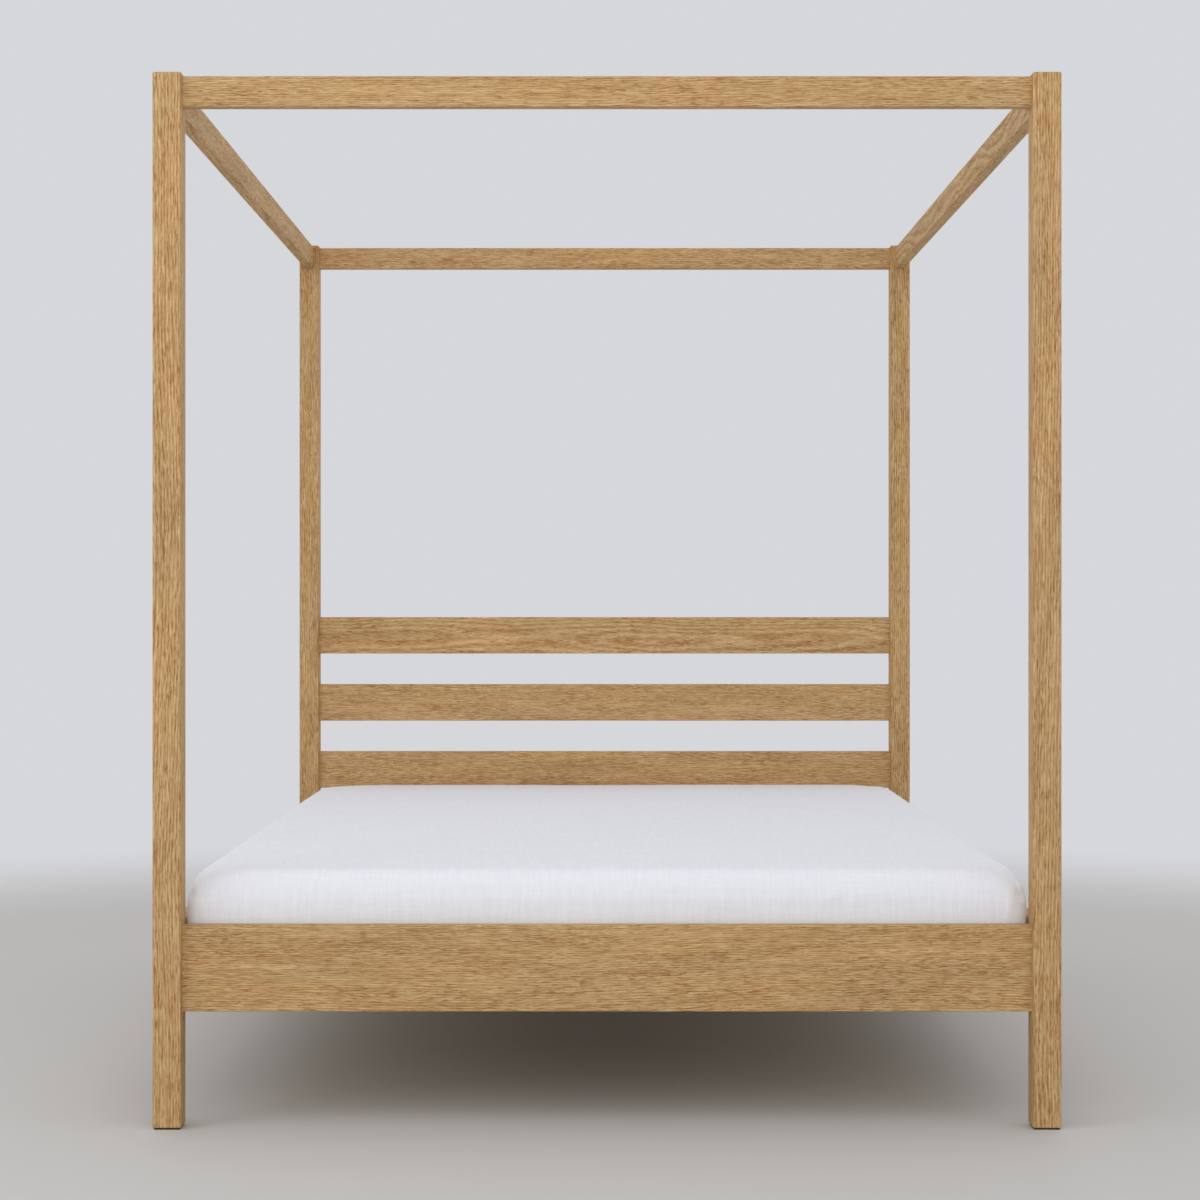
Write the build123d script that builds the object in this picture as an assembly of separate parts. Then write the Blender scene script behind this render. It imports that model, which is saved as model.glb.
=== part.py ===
from build123d import *
import os

# A four poster canopy bed in solid oak, with a slatted base and a queen mattress.
# All sizes are in millimetres. The bed stands on z = 0 with its foot end towards -Y,
# and its origin is the middle of its footprint on the floor.

# Overall size
BED_WIDTH = 1626.0
BED_LENGTH = 2116.0
BED_HEIGHT = 1892.0

# Posts and the pads under them
POST_SIDE = 51.0
POST_EDGE_RADIUS = 3.5
POST_END_RADIUS = 2.5
PAD_THICKNESS = 3.0
PAD_INSET = 2.0
PAD_CORNER_RADIUS = 5.0

# Rails, headboard slats and canopy rails, all of one board thickness
BOARD_THICKNESS = 25.0
BOARD_EDGE_RADIUS = 2.5
RAIL_BOTTOM = 209.0
RAIL_HEIGHT = 155.0
CANOPY_RAIL_HEIGHT = 55.0
CANOPY_TOP_DROP = 5.0
HEADBOARD_SLAT_HEIGHT = 97.0
HEADBOARD_SLAT_TOPS = {"top": 901.5, "middle": 722.2, "bottom": 542.9}
TENON_THICKNESS = 10.0
TENON_LENGTH = 20.0
TENON_SHOULDER = 10.0

# Slatted base
CLEAT_SIDE = 25.0
CLEAT_LENGTH = 2000.0
CLEAT_EDGE_RADIUS = 1.0
BED_SLAT_COUNT = 15
BED_SLAT_WIDTH = 70.0
BED_SLAT_THICKNESS = 19.0
BED_SLAT_EDGE_RADIUS = 2.0
BED_SLAT_PITCH = 138.0
BED_SLAT_END_GAP = 2.0
BED_SLAT_BOTTOM = 241.0
STRAP_WIDTH = 20.0
STRAP_THICKNESS = 1.2
STRAP_OFFSET = 480.0
STRAP_END_SETBACK = 4.0
BEAM_WIDTH = 50.0
BEAM_HEIGHT = 25.0
BEAM_WALL = 2.5
BRACKET_PLATE = 3.0
BRACKET_WIDTH = 92.0
BRACKET_DEPTH = 30.0
BRACKET_BACK_HEIGHT = 36.0
BRACKET_SCREW_X = 38.0
BRACKET_SCREW_HEIGHTS = (221.0, 242.0)
BEAM_SIDE_GAP = 0.4

# Rail bolts: stud, threaded insert, half-moon washer and hexagon nut
STUD_RADIUS = 4.0
INSERT_RADIUS = 6.0
INSERT_LENGTH = 18.0
POCKET_RADIUS = 14.0
POCKET_DEPTH = 19.5
POCKET_SETBACK = 40.0
NUT_ACROSS_FLATS = 13.0
NUT_THICKNESS = 6.5
WASHER_FLAT_OFFSET = 8.5
WASHER_HALF_HEIGHT = 6.5
CROSS_RAIL_BOLT_HEIGHTS = (251.5, 321.5)
SIDE_RAIL_BOLT_HEIGHTS = (275.0, 335.0)

# Dowels
DOWEL_RADIUS = 4.0
DOWEL_LENGTH = 30.0
CROSS_RAIL_DOWEL_HEIGHTS = (286.5,)
SIDE_RAIL_DOWEL_HEIGHTS = (305.0,)
CANOPY_DOWEL_HEIGHTS = (1845.0, 1862.0)

# Cam locks in the top edges of the canopy rails
CAM_RADIUS = 7.5
CAM_HEIGHT = 13.0
CAM_SETBACK = 24.0
CAM_BOLT_RADIUS = 3.4
CAM_BOLT_NECK_RADIUS = 2.6
CAM_BOLT_POST_DEPTH = 11.0
CAM_BOLT_DROP = 8.0

# Countersunk wood screws
SCREW_HEAD_RADIUS = 4.0
SCREW_SHANK_RADIUS = 2.0
SCREW_HEAD_HEIGHT = 2.4
SLAT_SCREW_LENGTH = 36.0
CLEAT_SCREW_LENGTH = 42.0
BRACKET_SCREW_LENGTH = 19.0
CLEAT_SCREW_STEP = 2

# Mattress, from its sheet inwards
MATTRESS_WIDTH = 1520.0
MATTRESS_LENGTH = 2024.0
MATTRESS_TOP = 461.5
MATTRESS_CORNER_RADIUS = 44.0
MATTRESS_EDGE_RADIUS = 42.0
SHEET_THICKNESS = 1.0
SHEET_HEM_WIDTH = 60.0
COVER_THICKNESS = 3.0
COMFORT_FOAM_THICKNESS = 42.0
BASE_FOAM_THICKNESS = 10.0
EDGE_FOAM_WIDTH = 60.0
SPRING_POCKET_RADIUS = 45.0
SPRING_POCKET_WALL = 4.0
SPRING_POCKET_OVERLAP = 2.0
SPRING_POCKETS_IN_ROW = 21
SPRING_ROWS = 15
SPRING_ROW_GAP = 2.0

# Gaps left between pieces
FIT_GAP = 0.1
LAYER_GAP = 0.2
BODY_GAP = 0.3

# Places that follow from the sizes above
POST_BOTTOM = PAD_THICKNESS
POST_X = (BED_WIDTH - POST_SIDE) / 2
POST_Y = (BED_LENGTH - POST_SIDE) / 2
POST_INNER_X = POST_X - POST_SIDE / 2
POST_INNER_Y = POST_Y - POST_SIDE / 2
RAIL_TOP = RAIL_BOTTOM + RAIL_HEIGHT
CANOPY_TOP = BED_HEIGHT - CANOPY_TOP_DROP
CANOPY_BOTTOM = CANOPY_TOP - CANOPY_RAIL_HEIGHT
CAM_BOLT_HEIGHT = CANOPY_TOP - CAM_BOLT_DROP
RAIL_INNER_X = POST_X - BOARD_THICKNESS / 2
RAIL_INNER_Y = POST_Y - BOARD_THICKNESS / 2
BED_SLAT_TOP = BED_SLAT_BOTTOM + BED_SLAT_THICKNESS
BED_SLAT_HALF_LENGTH = RAIL_INNER_X - BED_SLAT_END_GAP
BED_SLAT_Y = [(k - (BED_SLAT_COUNT - 1) / 2) * BED_SLAT_PITCH for k in range(BED_SLAT_COUNT)]
CLEAT_X = RAIL_INNER_X - CLEAT_SIDE / 2
CLEAT_Z = BED_SLAT_BOTTOM - CLEAT_SIDE / 2
MATTRESS_BOTTOM = BED_SLAT_TOP + BODY_GAP

X_SIDES = {"left": -1, "right": 1}
Y_SIDES = {"front": -1, "rear": 1}
LOW = (Align.CENTER, Align.CENTER, Align.MIN)

parts = {}


def board(x_range, y_range, z_range, grain, radius):
    """A box between three pairs of limits, with the edges along its grain rounded."""
    spans = [high - low for low, high in (x_range, y_range, z_range)]
    middle = [(high + low) / 2 for low, high in (x_range, y_range, z_range)]
    return Pos(*middle) * fillet(Box(*spans).edges().filter_by(grain), radius)


def plate(x_range, y_range, z_range):
    """A box between three pairs of limits, with sharp edges."""
    spans = [high - low for low, high in (x_range, y_range, z_range)]
    middle = [(high + low) / 2 for low, high in (x_range, y_range, z_range)]
    return Pos(*middle) * Box(*spans)


def rod(start, direction, radius, length):
    """A round bar from a start point along a direction."""
    return Plane(origin=start, z_dir=direction).location * Cylinder(radius, length, align=LOW)


def group(solids):
    """Separate solids of one node."""
    return Compound(children=list(solids))


class RailEnd:
    """Where a rail meets a post.

    x and y are the point on the post's face in the middle of the rail's thickness,
    into_post points from the rail into the post, and inward points from the rail's
    middle to its face on the bed's inside.
    """

    def __init__(self, x, y, into_post, inward):
        self.x = x
        self.y = y
        self.into_post = Vector(*into_post)
        self.inward = Vector(*inward)

    def face_point(self, z):
        """The point on the post's face at a height."""
        return Vector(self.x, self.y, z)

    def back_point(self, z, distance):
        """The point inside the rail, a distance back from the post's face."""
        return self.face_point(z) - self.into_post * distance

    def pocket_frame(self, z, distance):
        """A frame in the rail with its X axis into the post and its Z axis inward."""
        return Plane(origin=self.back_point(z, distance), x_dir=self.into_post, z_dir=self.inward)


def cross_rail_ends(y_side):
    """The two ends of a rail that runs across the bed."""
    return [
        RailEnd(x_side * POST_INNER_X, y_side * POST_Y, (x_side, 0, 0), (0, -y_side, 0))
        for x_side in (-1, 1)
    ]


def side_rail_ends(x_side):
    """The two ends of a rail that runs along the bed."""
    return [
        RailEnd(x_side * POST_X, y_side * POST_INNER_Y, (0, y_side, 0), (-x_side, 0, 0))
        for y_side in (-1, 1)
    ]


def bolt_cuts(end, z):
    """The wood that a rail loses to one bolt: its pocket and the bore from the rail's end."""
    pocket_mouth = end.back_point(z, POCKET_SETBACK) + end.inward * BOARD_THICKNESS / 2
    pocket = rod(pocket_mouth, end.inward * -1, POCKET_RADIUS, POCKET_DEPTH)
    bore = rod(end.back_point(z, POCKET_SETBACK), end.into_post, STUD_RADIUS + 0.5, POCKET_SETBACK)
    return [pocket, bore]


def insert_hole(end, z):
    """The hole in a post for a threaded insert."""
    return rod(end.face_point(z), end.into_post, INSERT_RADIUS + FIT_GAP, INSERT_LENGTH + FIT_GAP)


def dowel_hole(end, z):
    """The hole for a dowel, half in the rail and half in the post."""
    reach = DOWEL_LENGTH / 2 + FIT_GAP
    return rod(end.back_point(z, reach), end.into_post, DOWEL_RADIUS + FIT_GAP, 2 * reach)


def cam_cuts(end):
    """The wood that a canopy rail loses to one cam lock: the cam's hole and the bolt's bore."""
    cam_middle = end.back_point(CANOPY_TOP, CAM_SETBACK)
    cam_hole = rod(cam_middle, (0, 0, -1), CAM_RADIUS + FIT_GAP, CAM_HEIGHT + FIT_GAP)
    bolt_start = end.back_point(CAM_BOLT_HEIGHT, CAM_SETBACK)
    return [cam_hole, rod(bolt_start, end.into_post, CAM_BOLT_RADIUS + 0.3, CAM_SETBACK)]


def cam_bolt_hole(end):
    """The hole in a post for a cam bolt's thread."""
    reach = CAM_BOLT_POST_DEPTH + FIT_GAP
    return rod(end.face_point(CAM_BOLT_HEIGHT), end.into_post, CAM_BOLT_RADIUS + FIT_GAP, reach)


def tenon(x_side, top):
    """The stub tenon of a headboard slat, or the mortise that takes it."""
    x_range = sorted((x_side * POST_INNER_X, x_side * (POST_INNER_X + TENON_LENGTH)))
    y_range = (POST_Y - TENON_THICKNESS / 2, POST_Y + TENON_THICKNESS / 2)
    z_range = (top - HEADBOARD_SLAT_HEIGHT + TENON_SHOULDER, top - TENON_SHOULDER)
    return x_range, y_range, z_range


def grow(ranges, amount):
    """Three pairs of limits, each moved outwards by the same amount."""
    return [(low - amount, high + amount) for low, high in ranges]


def make_post(x_side, y_side):
    """One square post with the holes for everything that joins it."""
    blank = extrude(
        Pos(x_side * POST_X, y_side * POST_Y, POST_BOTTOM)
        * RectangleRounded(POST_SIDE, POST_SIDE, POST_EDGE_RADIUS),
        BED_HEIGHT - POST_BOTTOM,
    )
    end_faces = [blank.faces().sort_by(Axis.Z)[0], blank.faces().sort_by(Axis.Z)[-1]]
    post = fillet([edge for face in end_faces for edge in face.edges()], POST_END_RADIUS)
    across = cross_rail_ends(y_side)[(x_side + 1) // 2]
    along = side_rail_ends(x_side)[(y_side + 1) // 2]
    cuts = [insert_hole(across, z) for z in CROSS_RAIL_BOLT_HEIGHTS]
    cuts += [insert_hole(along, z) for z in SIDE_RAIL_BOLT_HEIGHTS]
    cuts += [dowel_hole(across, z) for z in CROSS_RAIL_DOWEL_HEIGHTS + CANOPY_DOWEL_HEIGHTS]
    cuts += [dowel_hole(along, z) for z in SIDE_RAIL_DOWEL_HEIGHTS + CANOPY_DOWEL_HEIGHTS]
    cuts += [cam_bolt_hole(across), cam_bolt_hole(along)]
    if y_side > 0:
        cuts += [plate(*grow(tenon(x_side, top), FIT_GAP)) for top in HEADBOARD_SLAT_TOPS.values()]
    return post - cuts


def make_pad(x_side, y_side):
    """The felt pad glued under one post."""
    side = POST_SIDE - 2 * PAD_INSET
    outline = RectangleRounded(side, side, PAD_CORNER_RADIUS)
    return extrude(Pos(x_side * POST_X, y_side * POST_Y, 0) * outline, PAD_THICKNESS)


def make_cross_rail(y_side, z_range):
    """A plain board across the bed, between two posts."""
    y_range = (y_side * POST_Y - BOARD_THICKNESS / 2, y_side * POST_Y + BOARD_THICKNESS / 2)
    return board((-POST_INNER_X, POST_INNER_X), y_range, z_range, Axis.X, BOARD_EDGE_RADIUS)


def make_side_rail(x_side, z_range):
    """A plain board along the bed, between two posts."""
    x_range = (x_side * POST_X - BOARD_THICKNESS / 2, x_side * POST_X + BOARD_THICKNESS / 2)
    return board(x_range, (-POST_INNER_Y, POST_INNER_Y), z_range, Axis.Y, BOARD_EDGE_RADIUS)


def drill_lower_rail(rail, ends, bolt_heights, dowel_heights):
    """A lower rail with its bolt pockets, bolt bores and dowel holes."""
    cuts = [cut for end in ends for z in bolt_heights for cut in bolt_cuts(end, z)]
    cuts += [dowel_hole(end, z) for end in ends for z in dowel_heights]
    return rail - cuts


def drill_canopy_rail(rail, ends):
    """A canopy rail with its cam lock holes and dowel holes."""
    cuts = [cut for end in ends for cut in cam_cuts(end)]
    cuts += [dowel_hole(end, z) for end in ends for z in CANOPY_DOWEL_HEIGHTS]
    return rail - cuts


def make_headboard_slat(top):
    """One headboard slat with a stub tenon on each end."""
    slat = make_cross_rail(1, (top - HEADBOARD_SLAT_HEIGHT, top))
    return slat + [plate(*tenon(x_side, top)) for x_side in (-1, 1)]


def make_insert(end, z):
    """A threaded insert, flush with the post's face."""
    shell = rod(end.face_point(z), end.into_post, INSERT_RADIUS, INSERT_LENGTH)
    return shell - rod(end.face_point(z), end.into_post, STUD_RADIUS + FIT_GAP, INSERT_LENGTH)


def make_stud(end, z):
    """A stud from the middle of the pocket to the bottom of the insert."""
    length = POCKET_SETBACK + INSERT_LENGTH
    return rod(end.back_point(z, POCKET_SETBACK), end.into_post, STUD_RADIUS, length)


def make_washer(end, z):
    """A half-moon washer, round against the pocket's wall and flat against the nut."""
    moon = Cylinder(POCKET_RADIUS - FIT_GAP, 2 * WASHER_HALF_HEIGHT)
    flat_side = plate(
        (WASHER_FLAT_OFFSET, POCKET_RADIUS),
        (-POCKET_RADIUS, POCKET_RADIUS),
        (-WASHER_HALF_HEIGHT, WASHER_HALF_HEIGHT),
    )
    hole = rod((0, 0, 0), (1, 0, 0), STUD_RADIUS + 0.2, POCKET_RADIUS)
    return end.pocket_frame(z, POCKET_SETBACK).location * ((moon & flat_side) - hole)


def make_nut(end, z):
    """A hexagon nut against the half-moon washer."""
    outline = RegularPolygon(NUT_ACROSS_FLATS / 2, 6, major_radius=False, rotation=30)
    flats_down = Plane(origin=(WASHER_FLAT_OFFSET - NUT_THICKNESS, 0, 0), x_dir=(0, 0, 1), z_dir=(1, 0, 0))
    nut = extrude(flats_down * (outline - Circle(STUD_RADIUS + FIT_GAP)), NUT_THICKNESS)
    return end.pocket_frame(z, POCKET_SETBACK).location * nut


def make_dowel(end, z):
    """A wooden dowel with chamfered ends, half in the rail and half in the post."""
    dowel = rod(end.back_point(z, DOWEL_LENGTH / 2), end.into_post, DOWEL_RADIUS, DOWEL_LENGTH)
    return chamfer(dowel.edges().filter_by(GeomType.CIRCLE), 0.8)


def make_cam_bolt(end):
    """A cam bolt: thread in the post, thin neck, and a head inside the cam."""
    head_length = 4.0
    neck_length = CAM_SETBACK - head_length
    thread = rod(
        end.face_point(CAM_BOLT_HEIGHT), end.into_post, CAM_BOLT_RADIUS, CAM_BOLT_POST_DEPTH
    )
    neck = rod(
        end.back_point(CAM_BOLT_HEIGHT, neck_length), end.into_post, CAM_BOLT_NECK_RADIUS, neck_length
    )
    head = rod(
        end.back_point(CAM_BOLT_HEIGHT, CAM_SETBACK), end.into_post, CAM_BOLT_RADIUS, head_length
    )
    return thread + neck + head


def make_cam(end):
    """A cam: a drum with a slot for the bolt's head and a cross recess in its top."""
    drum = rod(end.back_point(CANOPY_TOP, CAM_SETBACK), (0, 0, -1), CAM_RADIUS, CAM_HEIGHT)
    frame = Plane(
        origin=end.back_point(CAM_BOLT_HEIGHT, CAM_SETBACK), x_dir=end.into_post, z_dir=(0, 0, 1)
    ).location
    half_slot = CAM_BOLT_RADIUS + 0.4
    slot = plate((-half_slot, CAM_RADIUS + 1), (-half_slot, half_slot), (-half_slot, half_slot))
    recess_z = (CAM_BOLT_DROP - 2.2, CAM_BOLT_DROP + 1)
    recess = [plate((-4.5, 4.5), (-0.8, 0.8), recess_z), plate((-0.8, 0.8), (-4.5, 4.5), recess_z)]
    return drum - [frame * cut for cut in [slot, *recess]]


def screw_outline(length, grow_by):
    """Half of a countersunk screw's outline, head at the origin, pointing down the Y axis."""
    head = SCREW_HEAD_RADIUS + grow_by
    shank = SCREW_SHANK_RADIUS + grow_by
    tip = length + grow_by
    return make_face(
        Polyline(
            (0, 0),
            (head, 0),
            (shank, -SCREW_HEAD_HEIGHT),
            (shank, -tip + 5),
            (0, -tip),
            (0, 0),
        )
    )


def screw_body(length, grow_by=0.0):
    """A countersunk screw's body with its head's top at the origin, pointing down the Z axis."""
    return Rot(90, 0, 0) * revolve(screw_outline(length, grow_by), Axis.Y)


def make_screw(length):
    """A countersunk wood screw with a cross recess in its head."""
    recess = [
        plate((-2.4, 2.4), (-0.45, 0.45), (-1.4, 1)),
        plate((-0.45, 0.45), (-2.4, 2.4), (-1.4, 1)),
    ]
    return screw_body(length) - recess


def place_screws(screw, heads, direction):
    """Copies of a screw with their heads at the given points, all pointing one way."""
    upright = Vector(*direction) * -1
    return [Plane(origin=head, z_dir=upright).location * screw for head in heads]


def make_bracket(y_side):
    """A steel saddle that carries one end of the centre beam."""
    back_y = sorted((y_side * RAIL_INNER_Y, y_side * (RAIL_INNER_Y - BRACKET_PLATE)))
    shelf_y = sorted((y_side * RAIL_INNER_Y, y_side * (RAIL_INNER_Y - BRACKET_DEPTH)))
    shelf_z = (BED_SLAT_BOTTOM - BEAM_HEIGHT - BRACKET_PLATE, BED_SLAT_BOTTOM - BEAM_HEIGHT)
    back_z = (shelf_z[0], shelf_z[0] + BRACKET_BACK_HEIGHT)
    cheek_inner = BEAM_WIDTH / 2 + BEAM_SIDE_GAP
    cheek_outer = cheek_inner + BRACKET_PLATE
    bracket = plate((-BRACKET_WIDTH / 2, BRACKET_WIDTH / 2), back_y, back_z)
    bracket += plate((-cheek_outer, cheek_outer), shelf_y, shelf_z)
    for x_side in (-1, 1):
        cheek_x = sorted((x_side * cheek_inner, x_side * cheek_outer))
        bracket += plate(cheek_x, shelf_y, (shelf_z[0], BED_SLAT_BOTTOM - 2))
    return bracket


def bracket_screw_heads(y_side):
    """The four screw places in a bracket's back plate."""
    face_y = y_side * (RAIL_INNER_Y - BRACKET_PLATE)
    return [(x, face_y, z) for x in (-BRACKET_SCREW_X, BRACKET_SCREW_X) for z in BRACKET_SCREW_HEIGHTS]


def make_beam():
    """The steel tube along the middle of the bed."""
    outer = RectangleRounded(BEAM_WIDTH, BEAM_HEIGHT, 3.0)
    inner = RectangleRounded(BEAM_WIDTH - 2 * BEAM_WALL, BEAM_HEIGHT - 2 * BEAM_WALL, 1.0)
    half_length = RAIL_INNER_Y - BRACKET_PLATE - 0.5
    start = Plane(
        origin=(0, half_length, BED_SLAT_BOTTOM - BEAM_HEIGHT / 2), x_dir=(1, 0, 0), z_dir=(0, -1, 0)
    )
    return extrude(start * (outer - inner), 2 * half_length)


def soft_block(inset, z_low, z_high, edge_radius=0.0):
    """A slab of the mattress, inset from its outer outline, with rounded corners and top edge."""
    outline = RectangleRounded(
        MATTRESS_WIDTH - 2 * inset, MATTRESS_LENGTH - 2 * inset, MATTRESS_CORNER_RADIUS - inset
    )
    block = extrude(Pos(0, 0, z_low) * outline, z_high - z_low)
    if edge_radius > 0:
        block = fillet(block.faces().sort_by(Axis.Z)[-1].edges(), edge_radius)
    return block


def soft_cap(inset, thickness, z_low, z_high):
    """A skin of even thickness over the mattress's top and sides, open below."""
    outside = soft_block(inset, z_low, z_high, MATTRESS_EDGE_RADIUS - inset)
    inner_inset = inset + thickness
    inside = soft_block(inner_inset, z_low, z_high - thickness, MATTRESS_EDGE_RADIUS - inner_inset)
    return outside - inside


def make_fitted_sheet():
    """The fitted sheet: a cap over the mattress with a hem turned in underneath."""
    opening_width = MATTRESS_WIDTH - 2 * SHEET_HEM_WIDTH
    opening_length = MATTRESS_LENGTH - 2 * SHEET_HEM_WIDTH
    opening = RectangleRounded(opening_width, opening_length, MATTRESS_CORNER_RADIUS)
    hem = soft_block(0, MATTRESS_BOTTOM, MATTRESS_BOTTOM + SHEET_THICKNESS)
    hem -= extrude(Pos(0, 0, MATTRESS_BOTTOM) * opening, SHEET_THICKNESS)
    return soft_cap(0, SHEET_THICKNESS, MATTRESS_BOTTOM, MATTRESS_TOP) + hem


def make_spring_rows(z_low, z_high):
    """Rows of spring pockets, each row one strip of round pockets open at both ends."""
    pitch = 2 * SPRING_POCKET_RADIUS - SPRING_POCKET_OVERLAP
    places = [(k - (SPRING_POCKETS_IN_ROW - 1) / 2) * pitch for k in range(SPRING_POCKETS_IN_ROW)]
    outer = Circle(SPRING_POCKET_RADIUS)
    inner = Circle(SPRING_POCKET_RADIUS - SPRING_POCKET_WALL)
    strip = Sketch() + [Pos(0, y) * outer for y in places]
    strip -= [Pos(0, y) * inner for y in places]
    row = extrude(strip, z_high - z_low)
    row_pitch = 2 * SPRING_POCKET_RADIUS + SPRING_ROW_GAP
    row_places = [(k - (SPRING_ROWS - 1) / 2) * row_pitch for k in range(SPRING_ROWS)]
    return group(Pos(x, 0, z_low) * row.solid() for x in row_places)


# Posts and pads
for y_name, y_side in Y_SIDES.items():
    for x_name, x_side in X_SIDES.items():
        parts[f"post_{y_name}_{x_name}"] = make_post(x_side, y_side)
        parts[f"foot_pad_{y_name}_{x_name}"] = make_pad(x_side, y_side)

# Rails across the bed
lower_z = (RAIL_BOTTOM, RAIL_TOP)
canopy_z = (CANOPY_BOTTOM, CANOPY_TOP)
for name, y_side in (("footboard", -1), ("head_rail", 1)):
    parts[name] = drill_lower_rail(
        make_cross_rail(y_side, lower_z),
        cross_rail_ends(y_side),
        CROSS_RAIL_BOLT_HEIGHTS,
        CROSS_RAIL_DOWEL_HEIGHTS,
    )
bracket_screw_cut = screw_body(BRACKET_SCREW_LENGTH, FIT_GAP)
for name, y_side in (("footboard", -1), ("head_rail", 1)):
    parts[name] -= place_screws(bracket_screw_cut, bracket_screw_heads(y_side), (0, y_side, 0))
for y_name, y_side in Y_SIDES.items():
    rail = make_cross_rail(y_side, canopy_z)
    parts[f"canopy_rail_{y_name}"] = drill_canopy_rail(rail, cross_rail_ends(y_side))
for slat_name, slat_top in HEADBOARD_SLAT_TOPS.items():
    parts[f"headboard_slat_{slat_name}"] = make_headboard_slat(slat_top)

# Rails along the bed, with the cleats that carry the slats
slat_screw_cut = screw_body(SLAT_SCREW_LENGTH, FIT_GAP)
cleat_screw_cut = screw_body(CLEAT_SCREW_LENGTH, FIT_GAP)
cleat_gaps_y = [y + BED_SLAT_PITCH / 2 for y in BED_SLAT_Y[:-1:CLEAT_SCREW_STEP]]
slat_screw_heads = {}
cleat_screw_heads = {}
for x_name, x_side in X_SIDES.items():
    slat_screw_heads[x_name] = [(x_side * CLEAT_X, y, BED_SLAT_TOP) for y in BED_SLAT_Y]
    cleat_face = x_side * (RAIL_INNER_X - CLEAT_SIDE)
    cleat_screw_heads[x_name] = [(cleat_face, y, CLEAT_Z) for y in cleat_gaps_y]
    rail = drill_lower_rail(
        make_side_rail(x_side, lower_z),
        side_rail_ends(x_side),
        SIDE_RAIL_BOLT_HEIGHTS,
        SIDE_RAIL_DOWEL_HEIGHTS,
    )
    side_cuts = place_screws(cleat_screw_cut, cleat_screw_heads[x_name], (x_side, 0, 0))
    parts[f"side_rail_{x_name}"] = rail - side_cuts
    canopy_rail = make_side_rail(x_side, canopy_z)
    parts[f"canopy_rail_{x_name}"] = drill_canopy_rail(canopy_rail, side_rail_ends(x_side))
    cleat = board(
        sorted((cleat_face, x_side * RAIL_INNER_X)),
        (-CLEAT_LENGTH / 2, CLEAT_LENGTH / 2),
        (BED_SLAT_BOTTOM - CLEAT_SIDE, BED_SLAT_BOTTOM),
        Axis.Y,
        CLEAT_EDGE_RADIUS,
    )
    top_cuts = place_screws(slat_screw_cut, slat_screw_heads[x_name], (0, 0, -1))
    parts[f"cleat_{x_name}"] = cleat - side_cuts - top_cuts

# Slats, straps, centre beam and its brackets
bed_slat_half = BED_SLAT_WIDTH / 2
for k, y in enumerate(BED_SLAT_Y):
    slat = board(
        (-BED_SLAT_HALF_LENGTH, BED_SLAT_HALF_LENGTH),
        (y - bed_slat_half, y + bed_slat_half),
        (BED_SLAT_BOTTOM, BED_SLAT_TOP),
        Axis.X,
        BED_SLAT_EDGE_RADIUS,
    )
    heads = [slat_screw_heads[x_name][k] for x_name in X_SIDES]
    parts[f"bed_slat_{k + 1:02d}"] = slat - place_screws(slat_screw_cut, heads, (0, 0, -1))
strap_half_length = BED_SLAT_Y[-1] + bed_slat_half - STRAP_END_SETBACK
for x_name, x_side in X_SIDES.items():
    parts[f"slat_strap_{x_name}"] = plate(
        (x_side * STRAP_OFFSET - STRAP_WIDTH / 2, x_side * STRAP_OFFSET + STRAP_WIDTH / 2),
        (-strap_half_length, strap_half_length),
        (BED_SLAT_BOTTOM - STRAP_THICKNESS, BED_SLAT_BOTTOM),
    )
parts["centre_beam"] = make_beam()
for y_name, y_side in Y_SIDES.items():
    holes = place_screws(bracket_screw_cut, bracket_screw_heads(y_side), (0, y_side, 0))
    parts[f"beam_bracket_{y_name}"] = make_bracket(y_side) - holes

# Rail bolts, dowels and cam locks
bolt_places = [
    (end, z)
    for ends, heights in (
        (cross_rail_ends(-1) + cross_rail_ends(1), CROSS_RAIL_BOLT_HEIGHTS),
        (side_rail_ends(-1) + side_rail_ends(1), SIDE_RAIL_BOLT_HEIGHTS),
    )
    for end in ends
    for z in heights
]
dowel_places = [
    (end, z)
    for ends, heights in (
        (cross_rail_ends(-1) + cross_rail_ends(1), CROSS_RAIL_DOWEL_HEIGHTS),
        (side_rail_ends(-1) + side_rail_ends(1), SIDE_RAIL_DOWEL_HEIGHTS),
    )
    for end in ends
    for z in heights
]
canopy_ends = cross_rail_ends(-1) + cross_rail_ends(1) + side_rail_ends(-1) + side_rail_ends(1)
parts["rail_inserts"] = group(make_insert(end, z) for end, z in bolt_places)
parts["rail_studs"] = group(make_stud(end, z) for end, z in bolt_places)
parts["half_moon_washers"] = group(make_washer(end, z) for end, z in bolt_places)
parts["rail_nuts"] = group(make_nut(end, z) for end, z in bolt_places)
parts["rail_dowels"] = group(make_dowel(end, z) for end, z in dowel_places)
parts["canopy_cam_bolts"] = group(make_cam_bolt(end) for end in canopy_ends)
parts["canopy_cams"] = group(make_cam(end) for end in canopy_ends)
parts["canopy_dowels"] = group(make_dowel(end, z) for end in canopy_ends for z in CANOPY_DOWEL_HEIGHTS)

# Screws
slat_screw = make_screw(SLAT_SCREW_LENGTH)
cleat_screw = make_screw(CLEAT_SCREW_LENGTH)
bracket_screw = make_screw(BRACKET_SCREW_LENGTH)
all_slat_heads = [head for heads in slat_screw_heads.values() for head in heads]
parts["slat_screws"] = group(place_screws(slat_screw, all_slat_heads, (0, 0, -1)))
parts["cleat_screws"] = group(
    screw
    for x_name, x_side in X_SIDES.items()
    for screw in place_screws(cleat_screw, cleat_screw_heads[x_name], (x_side, 0, 0))
)
parts["bracket_screws"] = group(
    screw
    for y_side in Y_SIDES.values()
    for screw in place_screws(bracket_screw, bracket_screw_heads(y_side), (0, y_side, 0))
)

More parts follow.
